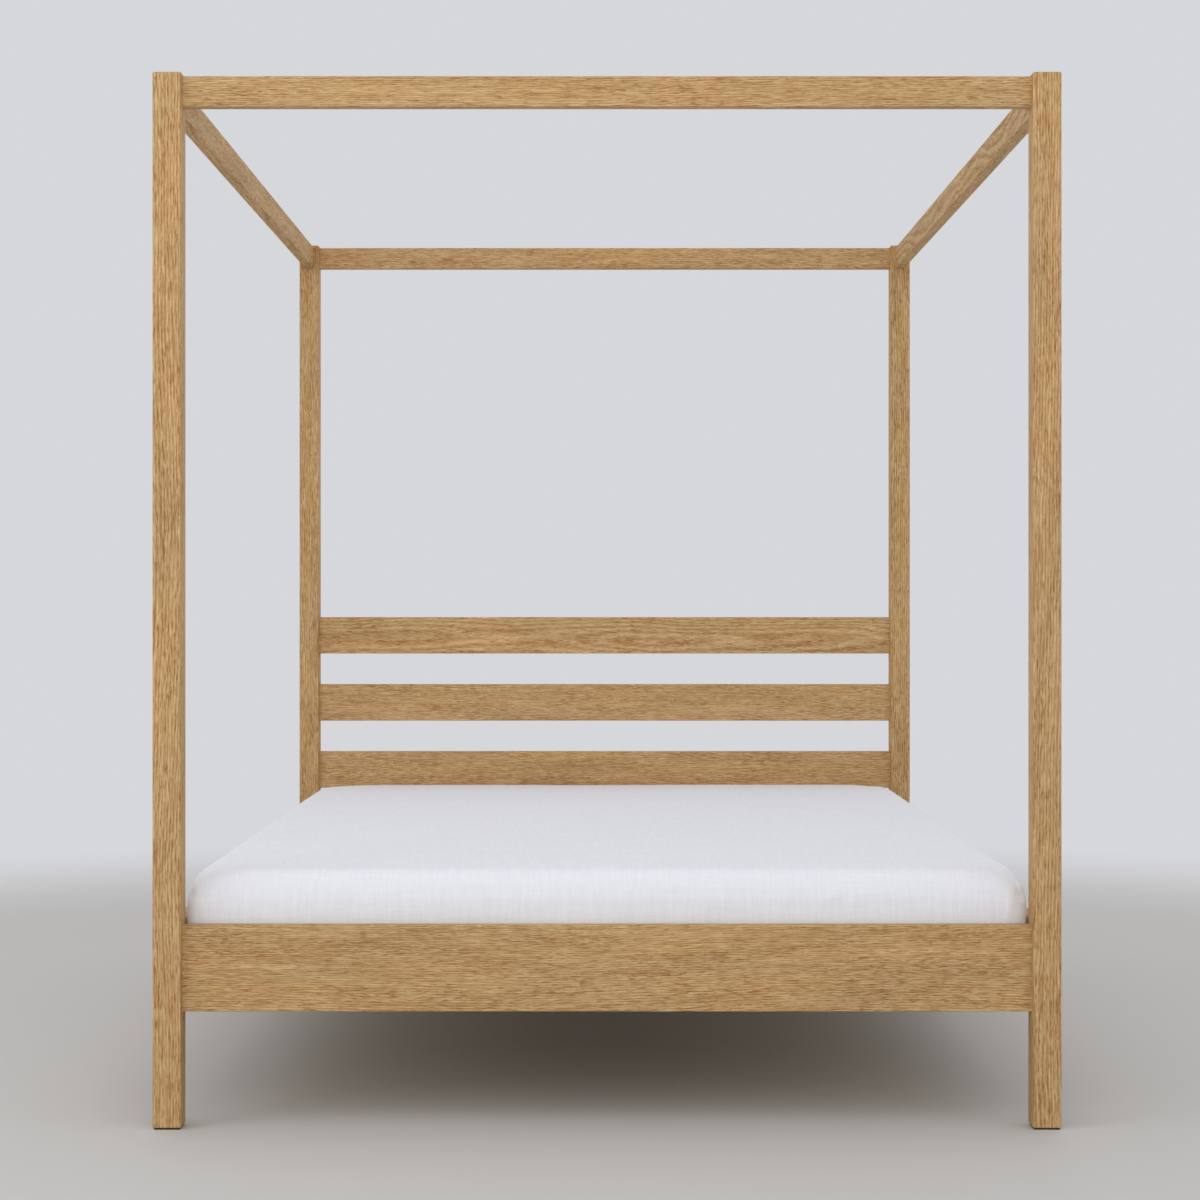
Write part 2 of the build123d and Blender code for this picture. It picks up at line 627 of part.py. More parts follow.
# Mattress, from the sheet inwards
cover_inset = SHEET_THICKNESS + LAYER_GAP
cover_top = MATTRESS_TOP - cover_inset
panel_low = MATTRESS_BOTTOM + cover_inset
panel_high = panel_low + COVER_THICKNESS
foam_inset = cover_inset + COVER_THICKNESS + LAYER_GAP
foam_low = panel_high + LAYER_GAP
foam_high = cover_top - COVER_THICKNESS - LAYER_GAP
core_low = foam_low + BASE_FOAM_THICKNESS + LAYER_GAP
core_high = foam_high - COMFORT_FOAM_THICKNESS - LAYER_GAP
parts["fitted_sheet"] = make_fitted_sheet()
parts["mattress_cover"] = soft_cap(cover_inset, COVER_THICKNESS, panel_high + LAYER_GAP, cover_top)
parts["mattress_base_panel"] = soft_block(cover_inset, panel_low, panel_high)
parts["comfort_foam"] = soft_block(
    foam_inset, core_high + LAYER_GAP, foam_high, MATTRESS_EDGE_RADIUS - foam_inset
)
parts["base_foam"] = soft_block(foam_inset, foam_low, foam_low + BASE_FOAM_THICKNESS)
core_inset = foam_inset + EDGE_FOAM_WIDTH
core_outline = Rectangle(MATTRESS_WIDTH - 2 * core_inset, MATTRESS_LENGTH - 2 * core_inset)
core_space = extrude(Pos(0, 0, core_low) * core_outline, core_high - core_low)
parts["edge_foam"] = soft_block(foam_inset, core_low, core_high) - core_space
parts["spring_pockets"] = make_spring_rows(core_low, core_high)

os.makedirs("parts", exist_ok=True)
for name, shape in parts.items():
    export_step(shape, f"parts/{name}.step")
print(len(parts), "nodes")
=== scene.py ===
"""An oak four poster canopy bed: its finishes, mattress and fitted sheet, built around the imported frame."""
import logging
import math
import random
from dataclasses import dataclass
from enum import Enum

import bpy
import numpy as np
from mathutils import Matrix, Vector


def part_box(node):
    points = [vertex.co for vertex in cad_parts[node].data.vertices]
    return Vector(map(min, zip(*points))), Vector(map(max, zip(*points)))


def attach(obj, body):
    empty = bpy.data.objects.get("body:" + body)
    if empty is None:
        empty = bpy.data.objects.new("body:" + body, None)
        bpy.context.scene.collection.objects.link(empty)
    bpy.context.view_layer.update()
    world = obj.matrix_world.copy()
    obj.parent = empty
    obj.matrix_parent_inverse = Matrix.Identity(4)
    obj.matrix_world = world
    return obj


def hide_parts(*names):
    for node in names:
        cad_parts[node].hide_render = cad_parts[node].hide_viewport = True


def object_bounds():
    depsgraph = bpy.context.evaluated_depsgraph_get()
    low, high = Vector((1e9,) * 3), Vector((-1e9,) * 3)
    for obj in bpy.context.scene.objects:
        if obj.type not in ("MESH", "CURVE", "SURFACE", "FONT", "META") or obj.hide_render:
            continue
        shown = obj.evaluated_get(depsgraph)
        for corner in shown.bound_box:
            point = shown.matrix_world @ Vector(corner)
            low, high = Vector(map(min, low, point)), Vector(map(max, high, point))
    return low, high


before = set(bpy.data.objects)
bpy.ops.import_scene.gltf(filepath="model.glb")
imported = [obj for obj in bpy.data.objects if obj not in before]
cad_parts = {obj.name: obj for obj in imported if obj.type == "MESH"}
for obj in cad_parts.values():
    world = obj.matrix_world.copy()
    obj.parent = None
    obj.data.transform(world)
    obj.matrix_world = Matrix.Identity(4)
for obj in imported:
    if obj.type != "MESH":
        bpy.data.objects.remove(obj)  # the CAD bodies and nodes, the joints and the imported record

LOG = logging.getLogger("canopy_bed")
CAD_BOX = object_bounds()

Socket = bpy.types.NodeSocket
Feed = float | tuple | Socket
Colour = tuple[float, float, float]


def linear(red: int, green: int, blue: int) -> Colour:
    """Turns a display colour, from 0 to 255, into the linear colour that shaders take, from 0 to 1."""
    shares = (channel / 255 for channel in (red, green, blue))
    return tuple(s / 12.92 if s <= 0.04045 else ((s + 0.055) / 1.055) ** 2.4 for s in shares)


class Wiring:
    """Adds nodes to one node tree and joins their sockets."""

    def __init__(self, tree: bpy.types.NodeTree) -> None:
        """Keeps the node tree to work on."""
        self.tree = tree

    def node(self, kind: str, **settings: object) -> bpy.types.Node:
        """Adds a node.

        Args:
            kind: The node's type name.
            **settings: Properties to set on it.

        Returns:
            The new node.
        """
        made = self.tree.nodes.new(kind)
        for name, value in settings.items():
            setattr(made, name, value)
        return made

    def feed(self, socket: Socket, value: Feed) -> None:
        """Joins a socket to an input, or sets the input to a plain value.

        Args:
            socket: The input socket.
            value: An output socket or a plain value.
        """
        if isinstance(value, bpy.types.NodeSocket):
            self.tree.links.new(value, socket)
        else:
            socket.default_value = (*value, 1.0) if socket.type == "RGBA" and len(value) == 3 else value

    def make(
        self, kind: str, feeds: dict[str | int, Feed], gives: str | int = 0, **settings: object
    ) -> Socket:
        """Adds a node, feeds its inputs and returns one of its outputs.

        Args:
            kind: The node's type name.
            feeds: What goes into each input, by the input's name or number.
            gives: The name or number of the output that is wanted.
            **settings: Properties to set on the node.

        Returns:
            The output.
        """
        made = self.node(kind, **settings)
        for key, value in feeds.items():
            self.feed(made.inputs[key], value)
        return made.outputs[gives]

    def math(self, operation: str, *values: Feed, clamp: bool = False) -> Socket:
        """Adds a Math node and returns its result."""
        return self.make("ShaderNodeMath", dict(enumerate(values)), operation=operation, use_clamp=clamp)

    def vector(self, operation: str, *values: Feed) -> Socket:
        """Adds a Vector Math node and returns its vector, or its value for a length."""
        gives = "Value" if operation == "LENGTH" else "Vector"
        return self.make("ShaderNodeVectorMath", dict(enumerate(values)), gives, operation=operation)

    def combine(self, x: Feed, y: Feed, z: Feed) -> Socket:
        """Joins three numbers into a vector."""
        return self.make("ShaderNodeCombineXYZ", {0: x, 1: y, 2: z})

    def in_units(self, place: Socket, size: Feed) -> Socket:
        """Measures coordinates in units of a size."""
        share = self.math("DIVIDE", 1.0, size)
        return self.make("ShaderNodeVectorMath", {0: place, "Scale": share}, operation="SCALE")

    def noise(
        self, place: Socket, stretch: tuple, detail: float = 2.0, roughness: float = 0.5, colour: bool = False
    ) -> Socket:
        """Adds a noise pattern with its own scale along each axis.

        Args:
            place: The coordinates.
            stretch: How many features there are in a unit, along each axis.
            detail: The noise's octaves.
            roughness: How strong the finer octaves are.
            colour: Whether three unlike noises come back as a colour.

        Returns:
            The noise, from 0 to 1 around 0.5.
        """
        stretched = self.vector("MULTIPLY", place, stretch)
        feeds = {"Vector": stretched, "Scale": 1.0, "Detail": detail, "Roughness": roughness}
        return self.make("ShaderNodeTexNoise", feeds, "Color" if colour else 0)

    def remap(self, value: Feed, start: Feed, end: Feed, low: Feed = 0.0, high: Feed = 1.0) -> Socket:
        """Turns the span from start to end into the span from low to high by a smooth step."""
        feeds = dict(enumerate((value, start, end, low, high)))
        return self.make("ShaderNodeMapRange", feeds, interpolation_type="SMOOTHSTEP")

    def mix(self, factor: Feed, first: Feed, second: Feed, blend: str = "MIX") -> Socket:
        """Mixes two colours.

        Args:
            factor: How much of the second colour there is.
            first: The first colour.
            second: The second colour.
            blend: The way of mixing.

        Returns:
            The mixed colour.
        """
        made = self.node("ShaderNodeMix", data_type="RGBA", blend_type=blend)
        colours = [s for s in made.inputs if s.type == "RGBA"]
        for socket, value in zip((made.inputs[0], *colours), (factor, first, second)):
            self.feed(socket, value)
        return next(s for s in made.outputs if s.type == "RGBA")

    def join(self, *parts: Socket) -> Socket:
        """Joins several geometries into one.

        Args:
            *parts: The geometries.

        Returns:
            The joined geometry.
        """
        joined = self.node("GeometryNodeJoinGeometry")
        for part in parts:
            self.feed(joined.inputs[0], part)
        return joined.outputs[0]


SOCKET_TYPES = {"value": "NodeSocketFloat", "vector": "NodeSocketVector", "colour": "NodeSocketColor"}


def new_group(name: str, takes: dict[str, str], gives: dict[str, str]) -> tuple[Wiring, dict, bpy.types.Node]:
    """Starts a shader node group.

    Args:
        name: The group's name.
        takes: Each input's name and kind.
        gives: Each output's name and kind.

    Returns:
        The wiring of the group, its inputs by name, and its output node.
    """
    tree = bpy.data.node_groups.new(name, "ShaderNodeTree")
    for label, kind in takes.items():
        tree.interface.new_socket(name=label, in_out="INPUT", socket_type=SOCKET_TYPES[kind])
    for label, kind in gives.items():
        tree.interface.new_socket(name=label, in_out="OUTPUT", socket_type=SOCKET_TYPES[kind])
    wiring = Wiring(tree)
    entry = wiring.node("NodeGroupInput")
    leaving = wiring.node("NodeGroupOutput")
    return wiring, {s.name: s for s in entry.outputs if s.name}, leaving


def grain_group() -> bpy.types.NodeTree:
    """Builds the wood grain: growth rings about a distant heart, with streaks and pore ticks along them.

    Returns:
        The group. Its coordinates have the grain along Z, in metres.
    """
    takes = {
        "Vector": "vector", "Heart": "vector", "Ring Width": "value", "Wander": "value",
        "Pores": "value", "Streaks": "value", "Body": "colour", "Pale": "colour", "Pore": "colour",
    }
    gives = {"Color": "colour", "Roughness": "value", "Height": "value"}
    w, given, leaving = new_group("wood_grain", takes, gives)
    place = given["Vector"]

    # The grain wanders slowly along the board and a little faster across it, and all the rest follows it
    drift = w.vector("SUBTRACT", w.noise(place, (3.0, 3.0, 1.0), 1.0, colour=True), (0.5, 0.5, 0.5))
    waver = w.vector("SUBTRACT", w.noise(place, (24.0, 24.0, 5.0), 1.0, colour=True), (0.5, 0.5, 0.5))
    sway = w.vector("ADD", drift, w.vector("MULTIPLY", waver, (0.12, 0.12, 0.0)))
    flow = w.vector("MULTIPLY_ADD", sway, w.combine(given["Wander"], given["Wander"], 0.0), place)

    # Each ring starts porous and ends dense and pale
    from_heart = w.vector("MULTIPLY", w.vector("ADD", flow, given["Heart"]), (1.0, 1.0, 0.0))
    ring = w.math("FRACT", w.math("DIVIDE", w.vector("LENGTH", from_heart), given["Ring Width"]))
    early = w.math("MULTIPLY", w.remap(ring, 0.0, 0.14), w.remap(ring, 0.25, 0.62, 1.0, 0.0))
    dense = w.math("MULTIPLY", w.remap(ring, 0.45, 0.75), w.remap(ring, 0.86, 1.0, 1.0, 0.0))

    # Pale and dark streaks along the fibres, broad ones and fine ones
    broad = w.math("SUBTRACT", w.noise(flow, (150.0, 150.0, 7.0), 2.0, 0.6), 0.5)
    fine = w.math("SUBTRACT", w.noise(flow, (560.0, 560.0, 34.0), 2.0, 0.65), 0.5)
    both = w.math("ADD", w.math("MULTIPLY", broad, 0.75), w.math("MULTIPLY", fine, 2.2))
    both = w.math("ADD", both, w.math("MULTIPLY", w.math("SUBTRACT", dense, early), 0.16))
    streak = w.math("ADD", 0.42, w.math("MULTIPLY", both, given["Streaks"]), clamp=True)

    # Pores are short dark ticks, crowded in the porous part of each ring
    crowd = w.math("SUBTRACT", w.noise(flow, (34.0, 34.0, 6.0), 2.0), 0.5)
    level = w.math("ADD", w.math("MULTIPLY", early, 0.05), w.math("MULTIPLY", crowd, 0.25))
    ticks = w.remap(w.math("ADD", w.noise(flow, (620.0, 620.0, 48.0), 1.0), level), 0.56, 0.68)
    specks = w.remap(w.math("ADD", w.noise(flow, (900.0, 900.0, 95.0), 1.0), level), 0.56, 0.70)
    marks = w.math("ADD", ticks, w.math("MULTIPLY", specks, 0.5))
    pore = w.math("MULTIPLY", marks, given["Pores"], clamp=True)

    # Slow changes of tone and warmth over the whole board
    slow = w.node("ShaderNodeSeparateColor")
    w.feed(slow.inputs[0], w.noise(flow, (22.0, 22.0, 2.6), 2.0, colour=True))
    tone = w.remap(slow.outputs[0], 0.3, 0.7, 0.95, 1.05)
    warmth = w.remap(slow.outputs[1], 0.3, 0.7, 1.0, -1.0)
    shifted = [w.math("ADD", tone, w.math("MULTIPLY", warmth, share)) for share in (-0.012, 0.012, 0.035)]
    tones = w.make("ShaderNodeCombineColor", dict(enumerate(shifted)))
    colour = w.mix(streak, given["Body"], given["Pale"])
    colour = w.mix(pore, colour, given["Pore"])
    colour = w.mix(1.0, colour, tones, "MULTIPLY")

    w.feed(leaving.inputs["Color"], colour)
    w.feed(leaving.inputs["Roughness"], w.math("ADD", 0.62, w.math("MULTIPLY", pore, 0.2)))
    w.feed(leaving.inputs["Height"], w.math("SUBTRACT", w.math("MULTIPLY", fine, 0.5), pore))
    return w.tree


def weave_group() -> bpy.types.NodeTree:
    """Builds a plain weave with slubs along both threads.

    Returns:
        The group. Its coordinates have the cloth flat in X and Y, in metres.
    """
    takes = {"Vector": "vector", "Thread": "value", "Slubs": "value"}
    w, given, leaving = new_group("slub_weave", takes, {"Shade": "value", "Height": "value"})
    threads = w.in_units(given["Vector"], given["Thread"])

    # Slubs run along each thread as soft streaks, with finer threads between them and broad bands across
    shares = {
        (0.25, 0.012, 0.0): 0.9, (0.012, 0.25, 0.0): 0.5, (0.84, 0.033, 0.0): 0.8, (0.033, 0.84, 0.0): 0.5,
        (0.004, 0.03, 0.0): 0.35,
    }
    both = 0.0
    for stretch, share in shares.items():
        streak = w.math("SUBTRACT", w.noise(threads, stretch, 2.0, 0.6), 0.5)
        both = w.math("ADD", both, w.math("MULTIPLY", streak, share))
    w.feed(leaving.inputs["Shade"], w.math("ADD", 1.0, w.math("MULTIPLY", both, given["Slubs"])))
    w.feed(leaving.inputs["Height"], both)
    return w.tree


def speckle_group() -> bpy.types.NodeTree:
    """Builds a fine even speckle, for powder coat, plating and felt.

    Returns:
        The group. Its speckles are as wide as the Size input, in metres.
    """
    takes = {"Vector": "vector", "Size": "value"}
    w, given, leaving = new_group("speckle", takes, {"Mask": "value", "Height": "value"})
    grains = w.noise(w.in_units(given["Vector"], given["Size"]), (1.0, 1.0, 1.0), 3.0, 0.6)
    w.feed(leaving.inputs["Mask"], w.remap(grains, 0.35, 0.65))
    w.feed(leaving.inputs["Height"], grains)
    return w.tree


class Effects:
    """The shader groups that several finishes share, each built once."""

    def __init__(self) -> None:
        """Builds the groups."""
        self.grain = grain_group()
        self.weave = weave_group()
        self.speckle = speckle_group()


@dataclass(frozen=True)
class Blank:
    """A new material with its shader and wiring at hand."""

    material: bpy.types.Material
    wiring: Wiring
    shader: bpy.types.Node

    @staticmethod
    def start(name: str, roughness: float, metallic: float = 0.0, sheen: float = 0.0) -> "Blank":
        """Makes a material with one Principled shader.

        Args:
            name: The material's name.
            roughness: The shader's own roughness.
            metallic: 1 for bare metal.
            sheen: How much the surface shines at grazing angles, as cloth does.

        Returns:
            The blank.
        """
        material = bpy.data.materials.new(name)
        material.use_nodes = True
        shader = next(n for n in material.node_tree.nodes if n.type == "BSDF_PRINCIPLED")
        shader.inputs["Roughness"].default_value = roughness
        shader.inputs["Metallic"].default_value = metallic
        shader.inputs["Sheen Weight"].default_value = sheen
        return Blank(material, Wiring(material.node_tree), shader)

    def object_place(self) -> Socket:
        """Reads the piece's own object coordinates."""
        return self.wiring.node("ShaderNodeTexCoord").outputs["Object"]

    def effect(self, group: bpy.types.NodeTree, **values: Feed) -> bpy.types.Node:
        """Places a shared effect.

        Args:
            group: The effect's group.
            **values: Its inputs, with underscores for spaces.

        Returns:
            The group's node.
        """
        placed = self.wiring.node("ShaderNodeGroup", node_tree=group)
        for name, value in values.items():
            self.wiring.feed(placed.inputs[name.replace("_", " ")], value)
        return placed

    def bump(self, height: Socket, strength: float, distance: float) -> None:
        """Raises the surface by a height pattern, whose full range stands a distance high, in metres."""
        feeds = {"Strength": strength, "Distance": distance, "Height": height}
        self.wiring.feed(self.shader.inputs["Normal"], self.wiring.make("ShaderNodeBump", feeds))


class GrainAxis(Enum):
    """Which way a board's grain runs, as the order that puts the grain last."""

    ACROSS = ("Y", "Z", "X")
    ALONG = ("Z", "X", "Y")
    UPRIGHT = ("X", "Y", "Z")


@dataclass(frozen=True)
class Timber:
    """The colours and character of one kind of wood."""

    body: Colour
    pale: Colour
    pore: Colour
    ring_width: float
    wander: float
    pores: float
    streaks: float
    gloss: float


OAK = Timber(
    body=linear(174, 132, 80), pale=linear(220, 189, 140), pore=linear(144, 94, 50),
    ring_width=0.0042, wander=0.06, pores=0.62, streaks=1.0, gloss=0.12,
)
BIRCH = Timber(
    body=linear(216, 186, 141), pale=linear(235, 212, 174), pore=linear(196, 158, 112),
    ring_width=0.006, wander=0.03, pores=0.3, streaks=0.8, gloss=0.12,
)
BEECH = Timber(
    body=linear(208, 170, 128), pale=linear(226, 196, 158), pore=linear(176, 132, 92),
    ring_width=0.004, wander=0.01, pores=0.4, streaks=0.6, gloss=0.15,
)


@dataclass(frozen=True)
class WoodFinish:
    """One board's wood, cut from its own place in its own tree."""

    name: str
    timber: Timber
    axis: GrainAxis
    heart: tuple[float, float]
    shift: tuple[float, float, float]

    def material(self, effects: Effects) -> bpy.types.Material:
        """Builds the material.

        Args:
            effects: The shared effects.

        Returns:
            The material.
        """
        blank = Blank.start(self.name, 0.5)
        w = blank.wiring
        moved = w.vector("ADD", blank.object_place(), self.shift)
        split = w.node("ShaderNodeSeparateXYZ")
        w.feed(split.inputs[0], moved)
        turned = w.combine(*(split.outputs[axis] for axis in self.axis.value))
        timber = self.timber
        grain = blank.effect(
            effects.grain, Vector=turned, Heart=(*self.heart, 0.0), Ring_Width=timber.ring_width,
            Wander=timber.wander, Pores=timber.pores, Streaks=timber.streaks,
            Body=timber.body, Pale=timber.pale, Pore=timber.pore,
        )
        w.feed(blank.shader.inputs["Base Color"], grain.outputs["Color"])
        w.feed(blank.shader.inputs["Roughness"], grain.outputs["Roughness"])
        blank.shader.inputs["Specular IOR Level"].default_value = timber.gloss
        blank.bump(grain.outputs["Height"], 0.3, 0.0003)
        return blank.material


@dataclass(frozen=True)
class ClothFinish:
    """A woven cloth, read from the piece's flat pattern or from its place."""

    name: str
    colour: Colour
    thread: float
    slubs: float
    relief: float
    sheen: float = 0.0
    flat_pattern: bool = True

    def material(self, effects: Effects) -> bpy.types.Material:
        """Builds the material.

        Args:
            effects: The shared effects.

        Returns:
            The material.
        """
        blank = Blank.start(self.name, 0.85, sheen=self.sheen)
        w = blank.wiring
        place = w.node("ShaderNodeUVMap").outputs[0] if self.flat_pattern else blank.object_place()
        weave = blank.effect(effects.weave, Vector=place, Thread=self.thread, Slubs=self.slubs)
        shades = w.make("ShaderNodeCombineColor", {channel: weave.outputs["Shade"] for channel in range(3)})
        w.feed(blank.shader.inputs["Base Color"], w.mix(1.0, self.colour, shades, "MULTIPLY"))
        blank.shader.inputs["Specular IOR Level"].default_value = 0.25
        blank.bump(weave.outputs["Height"], 0.5, self.relief)
        return blank.material


@dataclass(frozen=True)
class SpeckledFinish:
    """An even surface with a fine speckle: metal, felt or thread."""

    name: str
    dark: Colour
    light: Colour
    size: float
    relief: float
    roughness: float
    metallic: float = 0.0
    sheen: float = 0.0

    def material(self, effects: Effects) -> bpy.types.Material:
        """Builds the material.

        Args:
            effects: The shared effects.

        Returns:
            The material.
        """
        blank = Blank.start(self.name, self.roughness, self.metallic, self.sheen)
        w = blank.wiring
        speckle = blank.effect(effects.speckle, Vector=blank.object_place(), Size=self.size)
        w.feed(blank.shader.inputs["Base Color"], w.mix(speckle.outputs["Mask"], self.dark, self.light))
        rough = w.remap(speckle.outputs["Mask"], 0.0, 1.0, self.roughness - 0.05, self.roughness + 0.05)
        w.feed(blank.shader.inputs["Roughness"], rough)
        blank.bump(speckle.outputs["Height"], 0.3, self.relief)
        return blank.material


SHEET_COTTON = ClothFinish(
    "white_slub_cotton", linear(238, 239, 243), thread=0.0011, slubs=0.16, relief=0.0006, sheen=0.05
)
TICKING = ClothFinish(
    "mattress_ticking", linear(228, 227, 222), thread=0.0024, slubs=0.08, relief=0.0006, sheen=0.1
)
WEBBING = ClothFinish(
    "strap_webbing", linear(206, 200, 186), thread=0.0016, slubs=0.16, relief=0.0006, flat_pattern=False
)
FELT = SpeckledFinish(
    "black_felt", linear(20, 20, 21), linear(46, 45, 44),
    size=0.0009, relief=0.0006, roughness=0.92, sheen=0.25,
)
POWDER_COAT = SpeckledFinish(
    "black_powder_coat", linear(26, 26, 27), linear(36, 36, 37), size=0.0007, relief=0.0001, roughness=0.5
)
ZINC = SpeckledFinish(
    "zinc_plate", linear(160, 162, 164), linear(198, 199, 200),
    size=0.0016, relief=0.00004, roughness=0.34, metallic=1.0,
)
BRASS = SpeckledFinish(
    "turned_brass", linear(176, 138, 72), linear(205, 170, 100),
    size=0.0012, relief=0.00004, roughness=0.3, metallic=1.0,
)
THREAD = SpeckledFinish(
    "white_thread", linear(222, 223, 226), linear(240, 241, 243),
    size=0.0006, relief=0.0002, roughness=0.8, sheen=0.1,
)


def dress(node: str, material: bpy.types.Material) -> None:
    """Gives a CAD node its material.

    Args:
        node: The node's name.
        material: The material.
    """
    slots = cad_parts[node].data.materials
    slots.clear()
    slots.append(material)


def finish_piece(piece: bpy.types.Object, body: str) -> None:
    """Puts a finished piece on its body and logs it.

    Args:
        piece: The piece.
        body: The CAD body that it moves with.
    """
    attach(piece, body)
    LOG.info("%s: %d faces on %s", piece.name, len(piece.data.polygons), body)


@dataclass
class PosterFrame:
    """Posts, rails, canopy and headboard, all of oak, on felt pads."""

    heart_far: float = 0.30
    heart_near: float = 0.09
    upright: tuple = ("post_front_left", "post_front_right", "post_rear_left", "post_rear_right")
    across: tuple = (
        "footboard", "head_rail", "canopy_rail_front", "canopy_rail_rear",
        "headboard_slat_top", "headboard_slat_middle", "headboard_slat_bottom",
    )
    along: tuple = ("side_rail_left", "side_rail_right", "canopy_rail_left", "canopy_rail_right")
    flat_sawn: tuple = ("headboard_slat_top", "canopy_rail_left")

    def finish_for(self, node: str, axis: GrainAxis) -> WoodFinish:
        """Picks where in a tree a board was cut.

        Args:
            node: The board's node.
            axis: Which way its grain runs.

        Returns:
            The board's finish.
        """
        draw = random.Random(node)
        low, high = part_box(node)
        middle = (low + high) / 2
        shift = tuple(draw.uniform(-0.02, 0.02) - m if "XYZ"[k] != axis.value[2] else draw.uniform(2, 9)
                      for k, m in enumerate(middle))
        if node in self.flat_sawn:
            heart = (self.heart_near * draw.uniform(0.8, 1.2), draw.uniform(-0.02, 0.02))
        elif axis is GrainAxis.UPRIGHT:
            heart = (self.heart_far * draw.uniform(0.7, 1.0), self.heart_far * draw.uniform(0.5, 0.9))
        else:
            heart = (self.heart_near * draw.uniform(0.6, 1.4), self.heart_far * draw.uniform(0.7, 1.2))
        return WoodFinish(f"oak_{node}", OAK, axis, heart, shift)

    def dress(self, effects: Effects) -> None:
        """Gives every board its own piece of oak and every pad its felt.

        Args:
            effects: The shared effects.
        """
        groups = (
            (self.upright, GrainAxis.UPRIGHT), (self.across, GrainAxis.ACROSS), (self.along, GrainAxis.ALONG),
        )
        for nodes, axis in groups:
            for node in nodes:
                dress(node, self.finish_for(node, axis).material(effects))
        felt = FELT.material(effects)
        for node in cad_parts:
            if node.startswith("foot_pad"):
                dress(node, felt)
        LOG.info("frame: %d oak boards", sum(len(nodes) for nodes, _ in groups))


@dataclass
class Hardware:
    """Studs, inserts, washers, nuts, cams, screws and dowels."""

    zinc_nodes: tuple = (
        "rail_studs", "half_moon_washers", "rail_nuts", "canopy_cam_bolts", "canopy_cams",
        "slat_screws", "cleat_screws", "bracket_screws",
    )
    dowel_nodes: tuple = ("rail_dowels", "canopy_dowels")

    def dress(self, effects: Effects) -> None:
        """Gives each kind of fastener its metal or wood.

        Args:
            effects: The shared effects.
        """
        zinc = ZINC.material(effects)
        for node in self.zinc_nodes:
            dress(node, zinc)
        dress("rail_inserts", BRASS.material(effects))
        beech = WoodFinish("beech_dowels", BEECH, GrainAxis.ACROSS, (0.2, 0.1), (0.0, 0.0, 0.0))
        for node in self.dowel_nodes:
            dress(node, beech.material(effects))
        LOG.info("hardware: %d kinds", len(self.zinc_nodes) + len(self.dowel_nodes) + 1)


class GeometryTree:
    """A Geometry Nodes tree with named inputs, built node by node."""

    def __init__(self, name: str, takes: dict[str, tuple[str, object]]) -> None:
        """Starts the tree.

        Args:
            name: The tree's name.
            takes: Each input's name, with its socket type and default.
        """
        self.tree = bpy.data.node_groups.new(name, "GeometryNodeTree")
        face = self.tree.interface
        face.new_socket(name="Geometry", in_out="INPUT", socket_type="NodeSocketGeometry")
        self.identifiers = {}
        for label, (kind, default) in takes.items():
            socket = face.new_socket(name=label, in_out="INPUT", socket_type=kind)
            if default is not None:
                socket.default_value = default
            self.identifiers[label] = socket.identifier
        face.new_socket(name="Geometry", in_out="OUTPUT", socket_type="NodeSocketGeometry")
        self.wiring = Wiring(self.tree)
        entry = self.wiring.node("NodeGroupInput")
        self.given = {s.name: s for s in entry.outputs if s.name}

    def close(self, geometry: Socket) -> None:
        """Ends the tree in real geometry with the Material input on it.

        Args:
            geometry: What the tree has made.
        """
        w = self.wiring
        real = w.make("GeometryNodeRealizeInstances", {0: geometry})
        painted = w.make("GeometryNodeSetMaterial", {"Geometry": real, "Material": self.given["Material"]})
        w.feed(w.node("NodeGroupOutput").inputs[0], painted)

    def run(self, name: str, source: bpy.types.Object, values: dict[str, object]) -> bpy.types.Object:
        """Runs the tree on an object and keeps the result as a plain mesh.

        Args:
            name: The new piece's name.
            source: The object that the tree starts from, which is removed.
            values: The tree's inputs by name.

        Returns:
            The new piece.
        """
        modifier = source.modifiers.new("build", "NODES")
        modifier.node_group = self.tree
        for label, value in values.items():
            modifier[self.identifiers[label]] = value
        source.update_tag()
        evaluated = source.evaluated_get(bpy.context.evaluated_depsgraph_get())
        mesh = bpy.data.meshes.new_from_object(evaluated)
        source.modifiers.remove(modifier)
        bpy.data.objects.remove(source)
        mesh.name = name
        piece = bpy.data.objects.new(name, mesh)
        bpy.context.scene.collection.objects.link(piece)
        return piece


def mesh_object(name: str, points: np.ndarray, faces: list, edges: list = ()) -> bpy.types.Object:
    """Makes an object from points and faces.

    Args:
        name: The object's name.
        points: The vertices, one row each.
        faces: The faces, as tuples of vertex numbers.
        edges: Loose edges, as pairs of vertex numbers.

    Returns:
        The object, at the origin.
    """
    mesh = bpy.data.meshes.new(name)
    mesh.from_pydata([tuple(p) for p in points], list(edges), faces)
    mesh.update()
    made = bpy.data.objects.new(name, mesh)
    bpy.context.scene.collection.objects.link(made)
    return made


